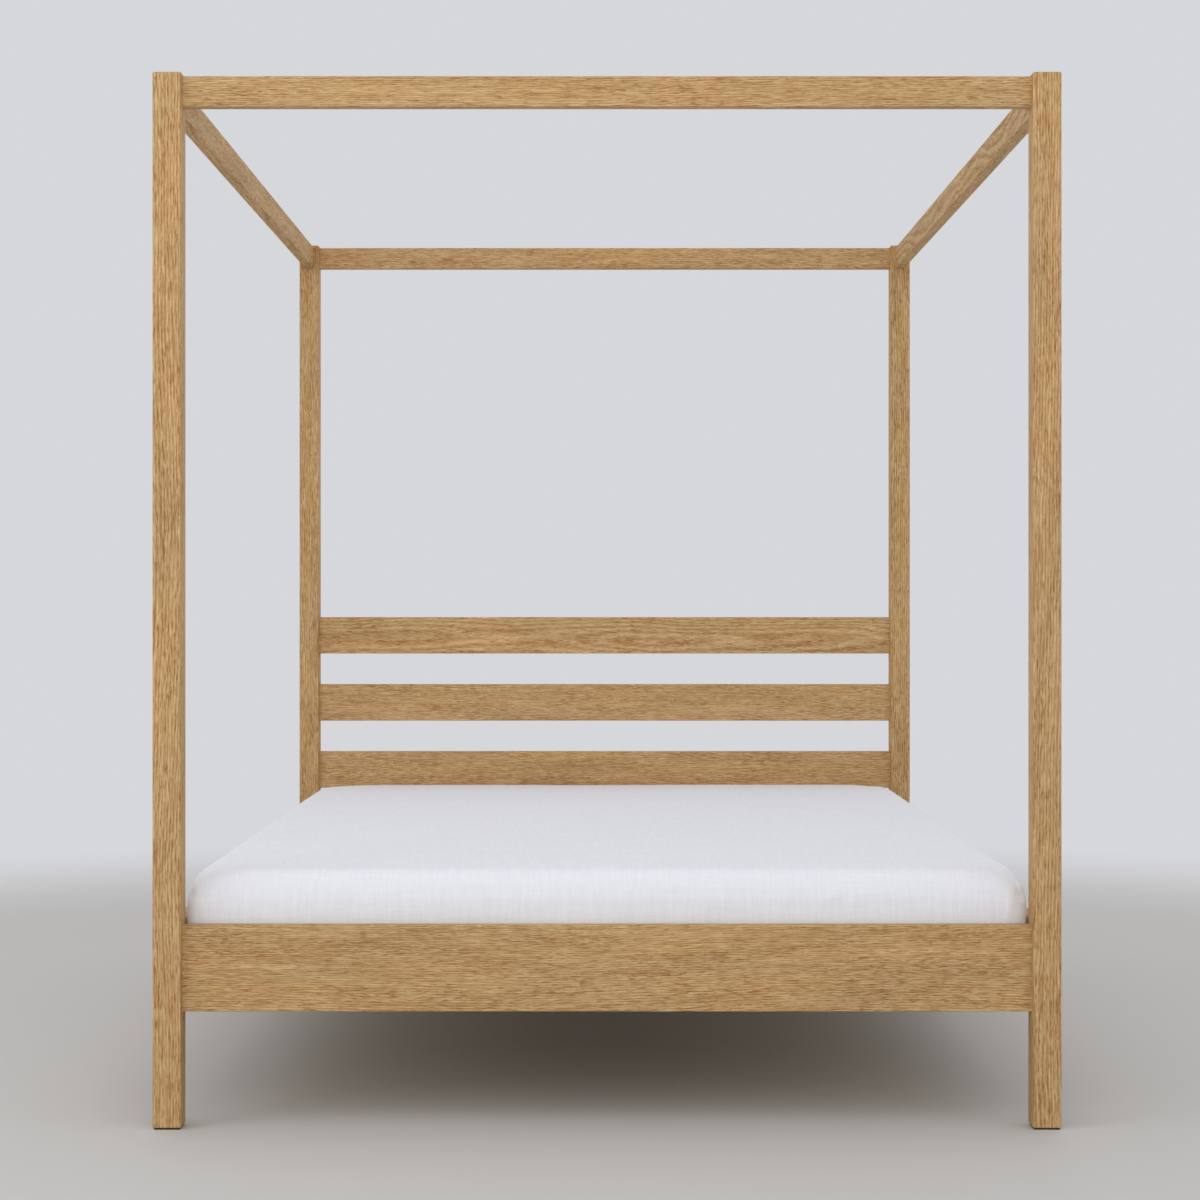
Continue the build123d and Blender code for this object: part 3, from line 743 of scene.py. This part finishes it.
@dataclass
class SlattedBase:
    """Slats on cleats, held at their spacing by stapled webbing, over a steel beam."""

    staple_span: float = 0.012
    staple_wire: float = 0.0012
    staple_leg: float = 0.005
    staple_spread: float = 0.018

    def staple_tree(self) -> GeometryTree:
        """Builds the tree that puts a pair of staples at every point.

        Returns:
            The tree.
        """
        tree = GeometryTree(
            "staple_pairs",
            {
                "Span": ("NodeSocketFloat", self.staple_span),
                "Wire": ("NodeSocketFloat", self.staple_wire),
                "Leg": ("NodeSocketFloat", self.staple_leg),
                "Spread": ("NodeSocketFloat", self.staple_spread),
                "Material": ("NodeSocketMaterial", None),
            },
        )
        w, given = tree.wiring, tree.given
        span, wire, leg = given["Span"], given["Wire"], given["Leg"]

        def moved(part: Socket, x: Feed, y: Feed, z: Feed) -> Socket:
            """Moves a geometry."""
            return w.make("GeometryNodeTransform", {"Geometry": part, "Translation": w.combine(x, y, z)})

        half_span = w.math("DIVIDE", span, 2.0)
        half_leg = w.math("DIVIDE", leg, 2.0)
        sides = (-1.0, 1.0)
        crown = w.make("GeometryNodeMeshCube", {"Size": w.combine(span, wire, wire)})
        prong = w.make("GeometryNodeMeshCube", {"Size": w.combine(wire, wire, leg)})
        legs = [moved(prong, w.math("MULTIPLY", half_span, side), 0.0, half_leg) for side in sides]
        staple = w.join(crown, *legs)
        pair = w.join(*(moved(staple, 0.0, w.math("MULTIPLY", given["Spread"], side), 0.0) for side in sides))
        placed = w.make("GeometryNodeInstanceOnPoints", {"Points": given["Geometry"], "Instance": pair})
        tree.close(placed)
        return tree

    def build_staples(self, effects: Effects) -> None:
        """Makes the staples that hold the straps under the slats.

        Args:
            effects: The shared effects.
        """
        slats = sorted(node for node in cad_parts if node.startswith("bed_slat_"))
        points = []
        for strap in ("slat_strap_left", "slat_strap_right"):
            low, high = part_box(strap)
            for slat in slats:
                slat_low, slat_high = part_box(slat)
                x, y = (low.x + high.x) / 2, (slat_low.y + slat_high.y) / 2
                points.append((x, y, low.z - self.staple_wire / 2))
        source = mesh_object("staple_points", np.array(points), [])
        piece = self.staple_tree().run("strap_staples", source, {"Material": ZINC.material(effects)})
        finish_piece(piece, "frame")

    def dress(self, effects: Effects) -> None:
        """Gives slats, cleats, straps, beam and brackets their finishes.

        Args:
            effects: The shared effects.
        """
        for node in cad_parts:
            if node.startswith("bed_slat_") or node.startswith("cleat_") and node != "cleat_screws":
                draw = random.Random(node)
                axis = GrainAxis.ACROSS if node.startswith("bed_slat_") else GrainAxis.ALONG
                shift = (draw.uniform(-3, 3), draw.uniform(-3, 3), draw.uniform(-3, 3))
                heart = (draw.uniform(0.1, 0.3), draw.uniform(0.05, 0.2))
                dress(node, WoodFinish(f"birch_{node}", BIRCH, axis, heart, shift).material(effects))
        webbing = WEBBING.material(effects)
        for node in ("slat_strap_left", "slat_strap_right"):
            dress(node, webbing)
        coat = POWDER_COAT.material(effects)
        for node in ("centre_beam", "beam_bracket_front", "beam_bracket_rear"):
            dress(node, coat)
        LOG.info("slatted base dressed")


class Side(Enum):
    """The six sides of a mattress."""

    TOP = "top"
    UNDER = "under"
    LEFT = "left"
    RIGHT = "right"
    FOOT = "foot"
    HEAD = "head"


@dataclass
class RoundedBlock:
    """A box in an even grid of quads, with soft edges and four squarish corners that sink a little."""

    low: Vector
    high: Vector
    edge: float
    shoulder: float
    under_edge: float
    corner_drop: float
    corner_reach: float
    step: float
    edge_steps: int = 7
    under_steps: int = 3
    plan_power: float = 6.0
    crown_power: float = 2.5
    power_blend: float = 0.35

    def stations(self, low: float, high: float, low_zone: tuple, high_zone: tuple) -> list[float]:
        """Places grid lines along one axis, closer together in the rounded zones.

        Args:
            low: Where the axis starts.
            high: Where the axis ends.
            low_zone: The length of the zone at the start and its number of steps.
            high_zone: The length of the zone at the end and its number of steps.

        Returns:
            The places of the grid lines.
        """
        inner_low, inner_high = low + low_zone[0], high - high_zone[0]
        count = max(1, round((inner_high - inner_low) / self.step))
        lines = [low + low_zone[0] * k / low_zone[1] for k in range(low_zone[1])]
        lines += [inner_low + (inner_high - inner_low) * k / count for k in range(count)]
        lines += [inner_high + high_zone[0] * k / high_zone[1] for k in range(high_zone[1] + 1)]
        return lines

    def rounded(self, q: Vector) -> Vector:
        """Moves a point of the sharp box onto the rounded one.

        Args:
            q: A point on the sharp box.

        Returns:
            Its place on the rounded block.
        """
        middle = (self.low + self.high) / 2
        half = (self.high - self.low) / 2
        away = q - middle
        across, along = (max(0.0, 1 - (h - abs(a)) / self.edge) for a, h in zip(away.xy, half.xy))
        to_end = along**2 / max(1e-9, across**2 + along**2)
        depth = self.edge + (self.shoulder - self.edge) * to_end if away.z > 0 else self.under_edge
        zones = Vector((self.edge, self.edge, depth))
        reach = Vector([max(0.0, 1 - (h - abs(a)) / zone) for a, h, zone in zip(away, half, zones)])
        to_crown = min(1.0, reach.z / self.power_blend)
        power = self.plan_power + (self.crown_power - self.plan_power) * to_crown
        norm = sum(r**power for r in reach) ** (1 / power)
        if norm > 0 and max(reach) > 0.999:
            moved = [h - zone + zone * r / norm for h, zone, r in zip(half, zones, reach)]
            away = Vector([math.copysign(m, a) if r > 0 else a for m, a, r in zip(moved, away, reach)])
        from_corner = math.hypot(half.x - abs(away.x), half.y - abs(away.y)) / self.corner_reach
        height = max(0.0, away.z / half.z)
        away.z -= self.corner_drop * math.exp(-from_corner * from_corner) * height * height
        return middle + away

    def unrolled(self, from_edge: float, half: float) -> float:
        """Measures along the cloth from the middle of the top.

        Args:
            from_edge: How far in from the sharp edge a point is, or minus how far down the side.
            half: Half the block's size along that axis.

        Returns:
            The distance along the cloth.
        """
        edge = self.edge
        if from_edge >= edge:
            return half - from_edge
        if from_edge >= 0:
            return half - edge + edge * math.atan(1 - from_edge / edge)
        if from_edge > -edge:
            return half - edge + edge * (math.pi / 2 - math.atan(1 + from_edge / edge))
        return half - 2 * edge + edge * math.pi / 2 - from_edge

    def flat_place(self, q: Vector, side: Side) -> tuple[float, float]:
        """Finds where a point lies on the flat cloth.

        Args:
            q: A point on the sharp box.
            side: The side that its face is on.

        Returns:
            The place across and along the cloth, in metres.
        """
        half = (self.high - self.low) / 2
        middle = (self.low + self.high) / 2
        x, y = q.x - middle.x, q.y - middle.y
        drop = q.z - self.high.z
        across, along = half.x - abs(x), half.y - abs(y)
        if side in (Side.LEFT, Side.RIGHT):
            across = drop
        if side in (Side.FOOT, Side.HEAD):
            along = drop
        if side is Side.UNDER:
            return x, y
        return math.copysign(self.unrolled(across, half.x), x), math.copysign(self.unrolled(along, half.y), y)

    def build(self) -> tuple[np.ndarray, list, list, list]:
        """Builds the block.

        Returns:
            The points, the faces, each face's side, and each face corner's place on the flat cloth.
        """
        zone = (self.edge, self.edge_steps)
        xs = self.stations(self.low.x, self.high.x, zone, zone)
        ys = self.stations(self.low.y, self.high.y, zone, zone)
        top_zone = (self.shoulder, self.edge_steps + 1)
        zs = self.stations(self.low.z, self.high.z, (self.under_edge, self.under_steps), top_zone)
        numbers: dict[tuple, int] = {}
        sharp: list[Vector] = []

        def number(key: tuple) -> int:
            """Gives a grid point its number, once.

            Args:
                key: The point's grid line along each axis.

            Returns:
                The number.
            """
            if key not in numbers:
                numbers[key] = len(sharp)
                sharp.append(Vector((xs[key[0]], ys[key[1]], zs[key[2]])))
            return numbers[key]

        last = (len(xs) - 1, len(ys) - 1, len(zs) - 1)
        walls = {
            Side.TOP: (2, last[2], False), Side.UNDER: (2, 0, True),
            Side.RIGHT: (0, last[0], False), Side.LEFT: (0, 0, True),
            Side.HEAD: (1, last[1], False), Side.FOOT: (1, 0, True),
        }
        faces, sides, flats = [], [], []
        for side, (axis, level, turned) in walls.items():
            first, second = (axis + 1) % 3, (axis + 2) % 3
            for i in range(last[first]):
                for j in range(last[second]):
                    ring = [(i, j), (i + 1, j), (i + 1, j + 1), (i, j + 1)]
                    if turned:
                        ring.reverse()
                    keys = [tuple({first: a, second: b, axis: level}[k] for k in range(3)) for a, b in ring]
                    face = tuple(number(key) for key in keys)
                    faces.append(face)
                    sides.append(side)
                    flats.append([self.flat_place(sharp[n], side) for n in face])
        self.corner_lines = [
            [numbers[a, b, k] for k in range(len(zs))] for a in (0, last[0]) for b in (0, last[1])
        ]
        return np.array([self.rounded(q) for q in sharp]), faces, sides, flats


def set_flat_pattern(piece: bpy.types.Object, flats: list) -> None:
    """Gives a mesh its flat pattern, each face corner's place on the flat cloth, as a UV map in metres."""
    layer = piece.data.uv_layers.new(name="flat_pattern")
    layer.data.foreach_set("uv", [value for face in flats for place in face for value in place])


def subdivide(piece: bpy.types.Object) -> None:
    """Adds one level of smooth subdivision to a piece's own mesh.

    Args:
        piece: The piece.
    """
    modifier = piece.modifiers.new("smooth", "SUBSURF")
    modifier.levels = modifier.render_levels = 1
    modifier.boundary_smooth = "PRESERVE_CORNERS"
    evaluated = piece.evaluated_get(bpy.context.evaluated_depsgraph_get())
    mesh = bpy.data.meshes.new_from_object(evaluated)
    piece.modifiers.remove(modifier)
    piece.data = mesh
    mesh.shade_smooth()


def rows_of(items: bpy.types.bpy_prop_collection, key: str) -> np.ndarray:
    """Reads a vector of every vertex or normal of a mesh.

    Args:
        items: The mesh's vertices or normals.
        key: The vector's name.

    Returns:
        One row for each vector.
    """
    flat = np.empty(len(items) * 3)
    items.foreach_get(key, flat)
    return flat.reshape(-1, 3)


@dataclass
class Mattress:
    """A mattress whose cover is filled tight, so that it swells between its edges."""

    body: str = "mattress"
    sheet_room: float = 0.0012
    start_inset: float = 0.0002
    top_inset: float = 0.0045
    slat_gap: float = 0.0005
    most_swell: float = 0.0060
    edge: float = 0.046
    shoulder: float = 0.066
    under_edge: float = 0.016
    corner_drop: float = 0.020
    corner_reach: float = 0.060
    step: float = 0.0215
    pressure: float = 4.0
    foam_hold: float = 0.24
    edge_hold: float = 1.6
    foam_stiffness: float = 1.0
    frames: int = 20
    inner_nodes: tuple = (
        "mattress_cover", "mattress_base_panel", "comfort_foam", "edge_foam", "base_foam", "spring_pockets",
    )

    def build(self) -> None:
        """Builds the block that the cover starts from, and swells it."""
        sheet_low, sheet_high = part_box("fitted_sheet")
        room = Vector((1.0, 1.0, 0.0)) * (self.sheet_room + self.start_inset)
        low = sheet_low + room + Vector((0.0, 0.0, self.sheet_room + self.slat_gap))
        high = sheet_high - room - Vector((0.0, 0.0, self.sheet_room + self.top_inset))
        self.block = RoundedBlock(
            low, high, self.edge, self.shoulder, self.under_edge,
            self.corner_drop, self.corner_reach, self.step,
        )
        start, self.faces, self.sides, self.flats = self.block.build()
        self.points = start + self.swell(start)

    def swell(self, start: np.ndarray) -> np.ndarray:
        """Finds how far each point of the cover moves when it is filled.

        Args:
            start: The cover's points before it is filled.

        Returns:
            Each point's move, capped, and none where the mattress rests on its slats.
        """
        moved = self.simulated_swell(start)
        length = np.linalg.norm(moved, axis=1, keepdims=True)
        moved *= np.minimum(1.0, self.most_swell / np.maximum(length, 1e-9))
        height = (start[:, 2] - start[:, 2].min()) / self.under_edge
        return moved * np.clip(height, 0.0, 1.0)[:, None]

    def simulated_swell(self, start: np.ndarray) -> np.ndarray:
        """Fills the cover by a cloth simulation with pressure inside.

        Args:
            start: The cover's points before it is filled.

        Returns:
            Each point's move.
        """
        shell = mesh_object("cover_simulation", start, self.faces)
        foam = shell.vertex_groups.new(name="foam")
        middle = (start.min(axis=0) + start.max(axis=0)) / 2
        away = np.abs(start - middle) / (start.max(axis=0) - middle)
        from_middle = np.clip(np.maximum(away[:, 0], away[:, 1]), 0.0, 1.0)
        for number, share in enumerate(from_middle):
            foam.add([number], self.foam_hold * (1.0 + self.edge_hold * share**4), "REPLACE")
        cloth = shell.modifiers.new("fill", "CLOTH")
        cloth.settings.vertex_group_mass = foam.name
        cloth.settings.pin_stiffness = self.foam_stiffness
        cloth.settings.quality = 5
        cloth.settings.mass = 0.4
        cloth.settings.tension_stiffness = 15.0
        cloth.settings.compression_stiffness = 15.0
        cloth.settings.shear_stiffness = 8.0
        cloth.settings.bending_stiffness = 2.0
        cloth.settings.use_pressure = True
        cloth.settings.uniform_pressure_force = self.pressure
        cloth.settings.effector_weights.gravity = 0.0
        cloth.collision_settings.use_collision = False
        cloth.point_cache.frame_start = 1
        cloth.point_cache.frame_end = self.frames
        scene = bpy.context.scene
        for number in range(1, self.frames + 1):
            scene.frame_set(number)
        evaluated = shell.evaluated_get(bpy.context.evaluated_depsgraph_get())
        moved = rows_of(evaluated.data.vertices, "co") - start
        bpy.data.objects.remove(shell)
        scene.frame_set(1)
        return moved

    def make_piece(self, effects: Effects) -> None:
        """Makes the mattress piece from the filled cover.

        Args:
            effects: The shared effects.
        """
        piece = mesh_object("mattress", self.points, self.faces)
        set_flat_pattern(piece, self.flats)
        subdivide(piece)
        piece.data.materials.append(TICKING.material(effects))
        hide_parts(*self.inner_nodes)
        finish_piece(piece, self.body)


@dataclass(frozen=True)
class Crease:
    """A soft ridge in the cloth between two points of the block, each given as shares of its half sizes."""

    start: tuple[float, float, float]
    end: tuple[float, float, float]
    width: float
    height: float

    def lift(self, points: np.ndarray, middle: np.ndarray, half: np.ndarray) -> np.ndarray:
        """Measures how far the crease lifts each point.

        Args:
            points: The cloth's points.
            middle: The middle of the block.
            half: Half of the block's size.

        Returns:
            The lift of each point, in metres.
        """
        first = middle + np.array(self.start) * half
        second = middle + np.array(self.end) * half
        run = second - first
        share = np.clip(((points - first) @ run) / (run @ run), 0.0, 1.0)
        away = np.linalg.norm(points - first - share[:, None] * run, axis=1)
        fade = np.sin(np.pi * np.clip(share * 0.8 + 0.1, 0.0, 1.0))
        return self.height * fade * np.exp(-((away / self.width) ** 2))


@dataclass
class FittedSheet:
    """A white fitted sheet, pulled tight over the mattress and turned in below."""

    mattress: Mattress
    clearance: float = 0.0009
    hem: float = 0.06
    ripple: float = 0.0016
    rumple: float = 0.0011
    hang: float = 0.0007
    gather: float = 0.0011
    gather_place: float = 0.10
    gather_width: float = 0.09
    hem_ramp: float = 0.03
    stitch_spacing: float = 0.0042
    stitch_length: float = 0.0028
    stitch_thread: float = 0.0007
    stitch_lift: float = 0.0002
    post_zone: float = 0.04
    post_room: float = 0.0027
    rail_room: float = 0.008
    creases: tuple = (
        Crease((0.522, -1.0, 0.42), (0.566, -1.0, 0.72), 0.007, 0.0034),
        Crease((0.560, -1.0, 0.30), (0.610, -1.0, 0.66), 0.014, 0.0020),
        Crease((0.250, -1.0, 0.34), (0.290, -1.0, 0.74), 0.020, 0.0014),
        Crease((-0.66, -0.86, 1.0), (-0.50, -0.66, 1.0), 0.012, 0.0026),
        Crease((-0.60, -0.92, 1.0), (-0.44, -0.78, 1.0), 0.016, 0.0018),
        Crease((0.978, -0.982, 0.30), (0.994, -0.968, 0.86), 0.008, 0.0034),
        Crease((0.950, -1.0, 0.05), (0.972, -0.994, 0.80), 0.009, 0.0022),
        Crease((-0.965, -0.995, 0.20), (-0.984, -0.986, 0.82), 0.010, 0.0024),
        Crease((0.30, 0.90, 1.0), (0.42, 0.62, 1.0), 0.018, 0.0018),
        Crease((-1.0, 0.40, 0.2), (-1.0, 0.46, 0.86), 0.014, 0.0022),
        Crease((1.0, -0.30, 0.1), (1.0, -0.24, 0.86), 0.014, 0.0022),
        Crease((-1.0, -0.72, 0.1), (-1.0, -0.78, 0.80), 0.012, 0.0020),
        Crease((1.0, 0.72, 0.1), (1.0, 0.80, 0.80), 0.012, 0.0020),
    )

    def kept_faces(self) -> list[int]:
        """Lists the mattress's faces that the sheet covers: all but the middle of the underside.

        Returns:
            The face numbers.
        """
        block = self.mattress.block
        kept = []
        for number, (face, side) in enumerate(zip(self.mattress.faces, self.mattress.sides)):
            centre = self.mattress.points[list(face)].mean(axis=0)
            inset = min(
                block.high.x - centre[0], centre[0] - block.low.x,
                block.high.y - centre[1], centre[1] - block.low.y,
            )
            if side is not Side.UNDER or inset < self.hem:
                kept.append(number)
        return kept

    def wrinkled(self, points: np.ndarray, normals: np.ndarray) -> np.ndarray:
        """Lays the sheet over the mattress, with its ripples and creases.

        Args:
            points: The mattress's surface points.
            normals: Their outward normals.

        Returns:
            The sheet's points.
        """
        block = self.mattress.block
        middle = np.array((block.low + block.high) / 2)
        half = np.array((block.high - block.low) / 2)
        lift = np.full(len(points), self.clearance)
        for crease in self.creases:
            lift += crease.lift(points, middle, half)

        # Slow swells over the whole top, and shallow folds where the cloth is drawn
        x, y, z = points.T
        slow = np.sin(2.1 * x + 1.3 * y + 0.4) * np.sin(1.7 * y - 2.6 * x + 1.9)
        drawn = np.sin(9.0 * x + 3.0 * y + 2.0 * np.sin(2.3 * y)) * np.sin(6.1 * y - 2.2 * x + 1.1)
        lift += self.ripple * (0.5 + 0.5 * slow) + self.rumple * (0.5 + 0.5 * drawn)
        below = np.clip((points[:, 2] - block.low.z) / self.hem_ramp, 0.0, 1.0)
        lift = self.clearance + (lift - self.clearance) * below

        # Soft folds hang down the sides, and finer ones gather near the corners
        sides = np.clip((1.0 - np.abs(normals[:, 2])) / 0.4, 0.0, 1.0) * below
        faces_x = np.abs(normals[:, 0]) > np.abs(normals[:, 1])
        along = np.where(faces_x, y, x)
        reach = np.where(faces_x, half[1] - np.abs(y), half[0] - np.abs(x))
        pull = np.exp(-(((reach - self.gather_place) / self.gather_width) ** 2))
        folds = 0.5 + 0.5 * np.sin(along * 95.0 + z * 20.0)
        hung = 0.5 + 0.5 * np.sin(along * 41.0 + 2.2 * np.sin(along * 7.3 + 0.6) + z * 14.0)
        lift += sides * (self.gather * pull * folds + self.hang * hung)

        # The cloth stays clear of the posts and the boards
        laid = points + normals * lift[:, None]
        beside_post = np.abs(laid[:, 1] - middle[1]) > half[1] - self.post_zone
        widest = np.where(beside_post, half[0] + self.post_room, half[0] + self.rail_room)
        laid[:, 0] = np.clip(laid[:, 0], middle[0] - widest, middle[0] + widest)
        longest = half[1] + self.rail_room
        laid[:, 1] = np.clip(laid[:, 1], middle[1] - longest, middle[1] + longest)
        return laid

    def build(self, effects: Effects) -> None:
        """Makes the sheet piece.

        Args:
            effects: The shared effects.
        """
        kept = self.kept_faces()
        mattress = self.mattress
        used = sorted({n for number in kept for n in mattress.faces[number]})
        renumber = {old: new for new, old in enumerate(used)}
        faces = [tuple(renumber[n] for n in mattress.faces[number]) for number in kept]
        piece = mesh_object("fitted_sheet_cloth", mattress.points[used], faces)
        set_flat_pattern(piece, [mattress.flats[number] for number in kept])
        subdivide(piece)
        mesh = piece.data
        points = self.wrinkled(rows_of(mesh.vertices, "co"), rows_of(mesh.vertex_normals, "vector"))
        mesh.vertices.foreach_set("co", points.ravel())
        mesh.update()
        mesh.materials.append(SHEET_COTTON.material(effects))
        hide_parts("fitted_sheet")
        finish_piece(piece, mattress.body)

    def stitch_tree(self) -> GeometryTree:
        """Builds the tree that sews small stitches along a line.

        Returns:
            The tree.
        """
        tree = GeometryTree(
            "stitch_line",
            {
                "Spacing": ("NodeSocketFloat", self.stitch_spacing),
                "Length": ("NodeSocketFloat", self.stitch_length),
                "Thread": ("NodeSocketFloat", self.stitch_thread),
                "Material": ("NodeSocketMaterial", None),
            },
        )
        w, given = tree.wiring, tree.given
        line = w.make("GeometryNodeMeshToCurve", {"Mesh": given["Geometry"]})
        spots = w.node("GeometryNodeCurveToPoints", mode="LENGTH")
        w.feed(spots.inputs["Curve"], line)
        w.feed(spots.inputs["Length"], given["Spacing"])
        stitch = w.make("GeometryNodeMeshUVSphere", {"Segments": 6, "Rings": 4, "Radius": 0.5})
        feeds = {
            "Points": spots.outputs["Points"], "Instance": stitch, "Rotation": spots.outputs["Rotation"],
            "Scale": w.combine(given["Thread"], given["Thread"], given["Length"]),
        }
        tree.close(w.make("GeometryNodeInstanceOnPoints", feeds))
        return tree

    def build_seams(self, effects: Effects) -> None:
        """Sews the four corner seams, each down one upright corner.

        Args:
            effects: The shared effects.
        """
        sheet = bpy.data.objects["fitted_sheet_cloth"]
        block = self.mattress.block
        points, edges = [], []
        for line in block.corner_lines:
            first = len(points)
            for number in line[block.under_steps:]:
                _, place, normal, _ = sheet.closest_point_on_mesh(Vector(self.mattress.points[number]))
                points.append(tuple(place + normal * self.stitch_lift))
            edges += [(k, k + 1) for k in range(first, len(points) - 1)]
        source = mesh_object("seam_lines", np.array(points), [], edges)
        thread = THREAD.material(effects)
        piece = self.stitch_tree().run("sheet_corner_stitches", source, {"Material": thread})
        finish_piece(piece, self.mattress.body)


@dataclass(frozen=True)
class Softbox:
    """A large square light with an even, soft face."""

    name: str
    place: tuple[float, float, float]
    aim: tuple[float, float, float]
    side: float
    power: float

    def hang(self) -> None:
        """Adds the light to the scene."""
        data = bpy.data.lights.new(self.name, "AREA")
        data.size = self.side
        data.energy = self.power
        light = bpy.data.objects.new(self.name, data)
        light.location = self.place
        light.rotation_euler = (Vector(self.aim) - Vector(self.place)).to_track_quat("-Z", "Y").to_euler()
        bpy.context.scene.collection.objects.link(light)


@dataclass
class Studio:
    """A pale floor and backdrop, soft lights and the camera."""

    view_distance: float = 2.040
    view_width: float = 1.3192
    eye_height: float = 0.5007
    eye_offset: float = -0.0077
    floor_inner: float = 2.3
    floor_outer: float = 4.2
    room: Colour = linear(214, 215, 219)
    room_light: float = 1.02
    floor_colour: Colour = linear(206, 204, 200)
    softboxes: tuple = (
        Softbox("front_softbox", (-0.3, -3.6, 3.3), (0.0, 0.0, 1.0), 3.0, 19.0),
        Softbox("left_softbox", (-3.4, -2.6, 2.4), (0.0, 0.0, 1.0), 2.4, 25.0),
        Softbox("right_softbox", (3.4, -2.6, 2.4), (0.0, 0.0, 1.0), 2.4, 6.0),
        Softbox("low_softbox", (0.0, -5.8, 1.6), (0.0, 0.0, 0.9), 3.0, 23.0),
        Softbox("rear_softbox", (0.8, 4.6, 2.8), (0.0, 0.0, 0.9), 3.0, 14.0),
    )

    def build_floor(self) -> None:
        """Makes a round floor that fades out at its rim."""
        steps = 96
        turns = [2 * math.pi * k / steps for k in range(steps)]
        rim = [(self.floor_outer * math.cos(t), self.floor_outer * math.sin(t), 0.0) for t in turns]
        floor = mesh_object("studio_floor", np.array(rim), [tuple(range(steps))])
        blank = Blank.start("studio_floor", 0.75)
        w = blank.wiring
        away = w.vector("LENGTH", w.vector("MULTIPLY", blank.object_place(), (1.0, 1.0, 0.0)))
        w.feed(blank.shader.inputs["Base Color"], (*self.floor_colour, 1.0))
        w.feed(blank.shader.inputs["Alpha"], w.remap(away, self.floor_inner, self.floor_outer, 1.0, 0.0))
        blank.shader.inputs["Specular IOR Level"].default_value = 0.2
        floor.data.materials.append(blank.material)

    def build_world(self) -> None:
        """Fills the room with an even pale colour, which lights the bed more weakly than it shows."""
        world = bpy.data.worlds.new("studio")
        world.use_nodes = True
        background = next(n for n in world.node_tree.nodes if n.type == "BACKGROUND")
        w = Wiring(world.node_tree)
        background.inputs["Color"].default_value = (*self.room, 1.0)
        seen = w.node("ShaderNodeLightPath").outputs["Is Camera Ray"]
        w.feed(background.inputs["Strength"], w.remap(seen, 0.0, 1.0, self.room_light, 1.0))
        bpy.context.scene.world = world

    def build_camera(self) -> None:
        """Places the camera level with the middle of the bed, square to its foot end."""
        low, high = CAD_BOX
        rear_low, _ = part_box("post_rear_left")
        front_low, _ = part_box("post_front_left")
        width, height = high.x - low.x, high.z - low.z
        distance = self.view_distance * (rear_low.y - front_low.y)
        camera = bpy.data.cameras.new("camera")
        camera.sensor_width = 36.0
        camera.lens = camera.sensor_width * distance / (self.view_width * width)
        camera.dof.use_dof = False
        made = bpy.data.objects.new("camera", camera)
        made.location = (self.eye_offset * width, front_low.y - distance, self.eye_height * height)
        made.rotation_euler = (math.pi / 2, 0.0, 0.0)
        bpy.context.scene.collection.objects.link(made)
        bpy.context.scene.camera = made

    def build(self) -> None:
        """Builds the whole studio."""
        self.build_camera()
        self.build_floor()
        self.build_world()
        for softbox in self.softboxes:
            softbox.hang()
        settings = bpy.context.scene.view_settings
        settings.view_transform = "Standard"
        settings.look = "None"
        LOG.info("studio: %d softboxes", len(self.softboxes))


def main() -> None:
    """Builds the bed in order."""
    logging.basicConfig(level=logging.INFO, format="%(name)s %(message)s")
    Studio().build()
    effects = Effects()
    PosterFrame().dress(effects)
    Hardware().dress(effects)
    base = SlattedBase()
    base.dress(effects)
    base.build_staples(effects)
    mattress = Mattress()
    mattress.build()
    mattress.make_piece(effects)
    sheet = FittedSheet(mattress)
    sheet.build(effects)
    sheet.build_seams(effects)


if __name__ == "__main__":
    main()
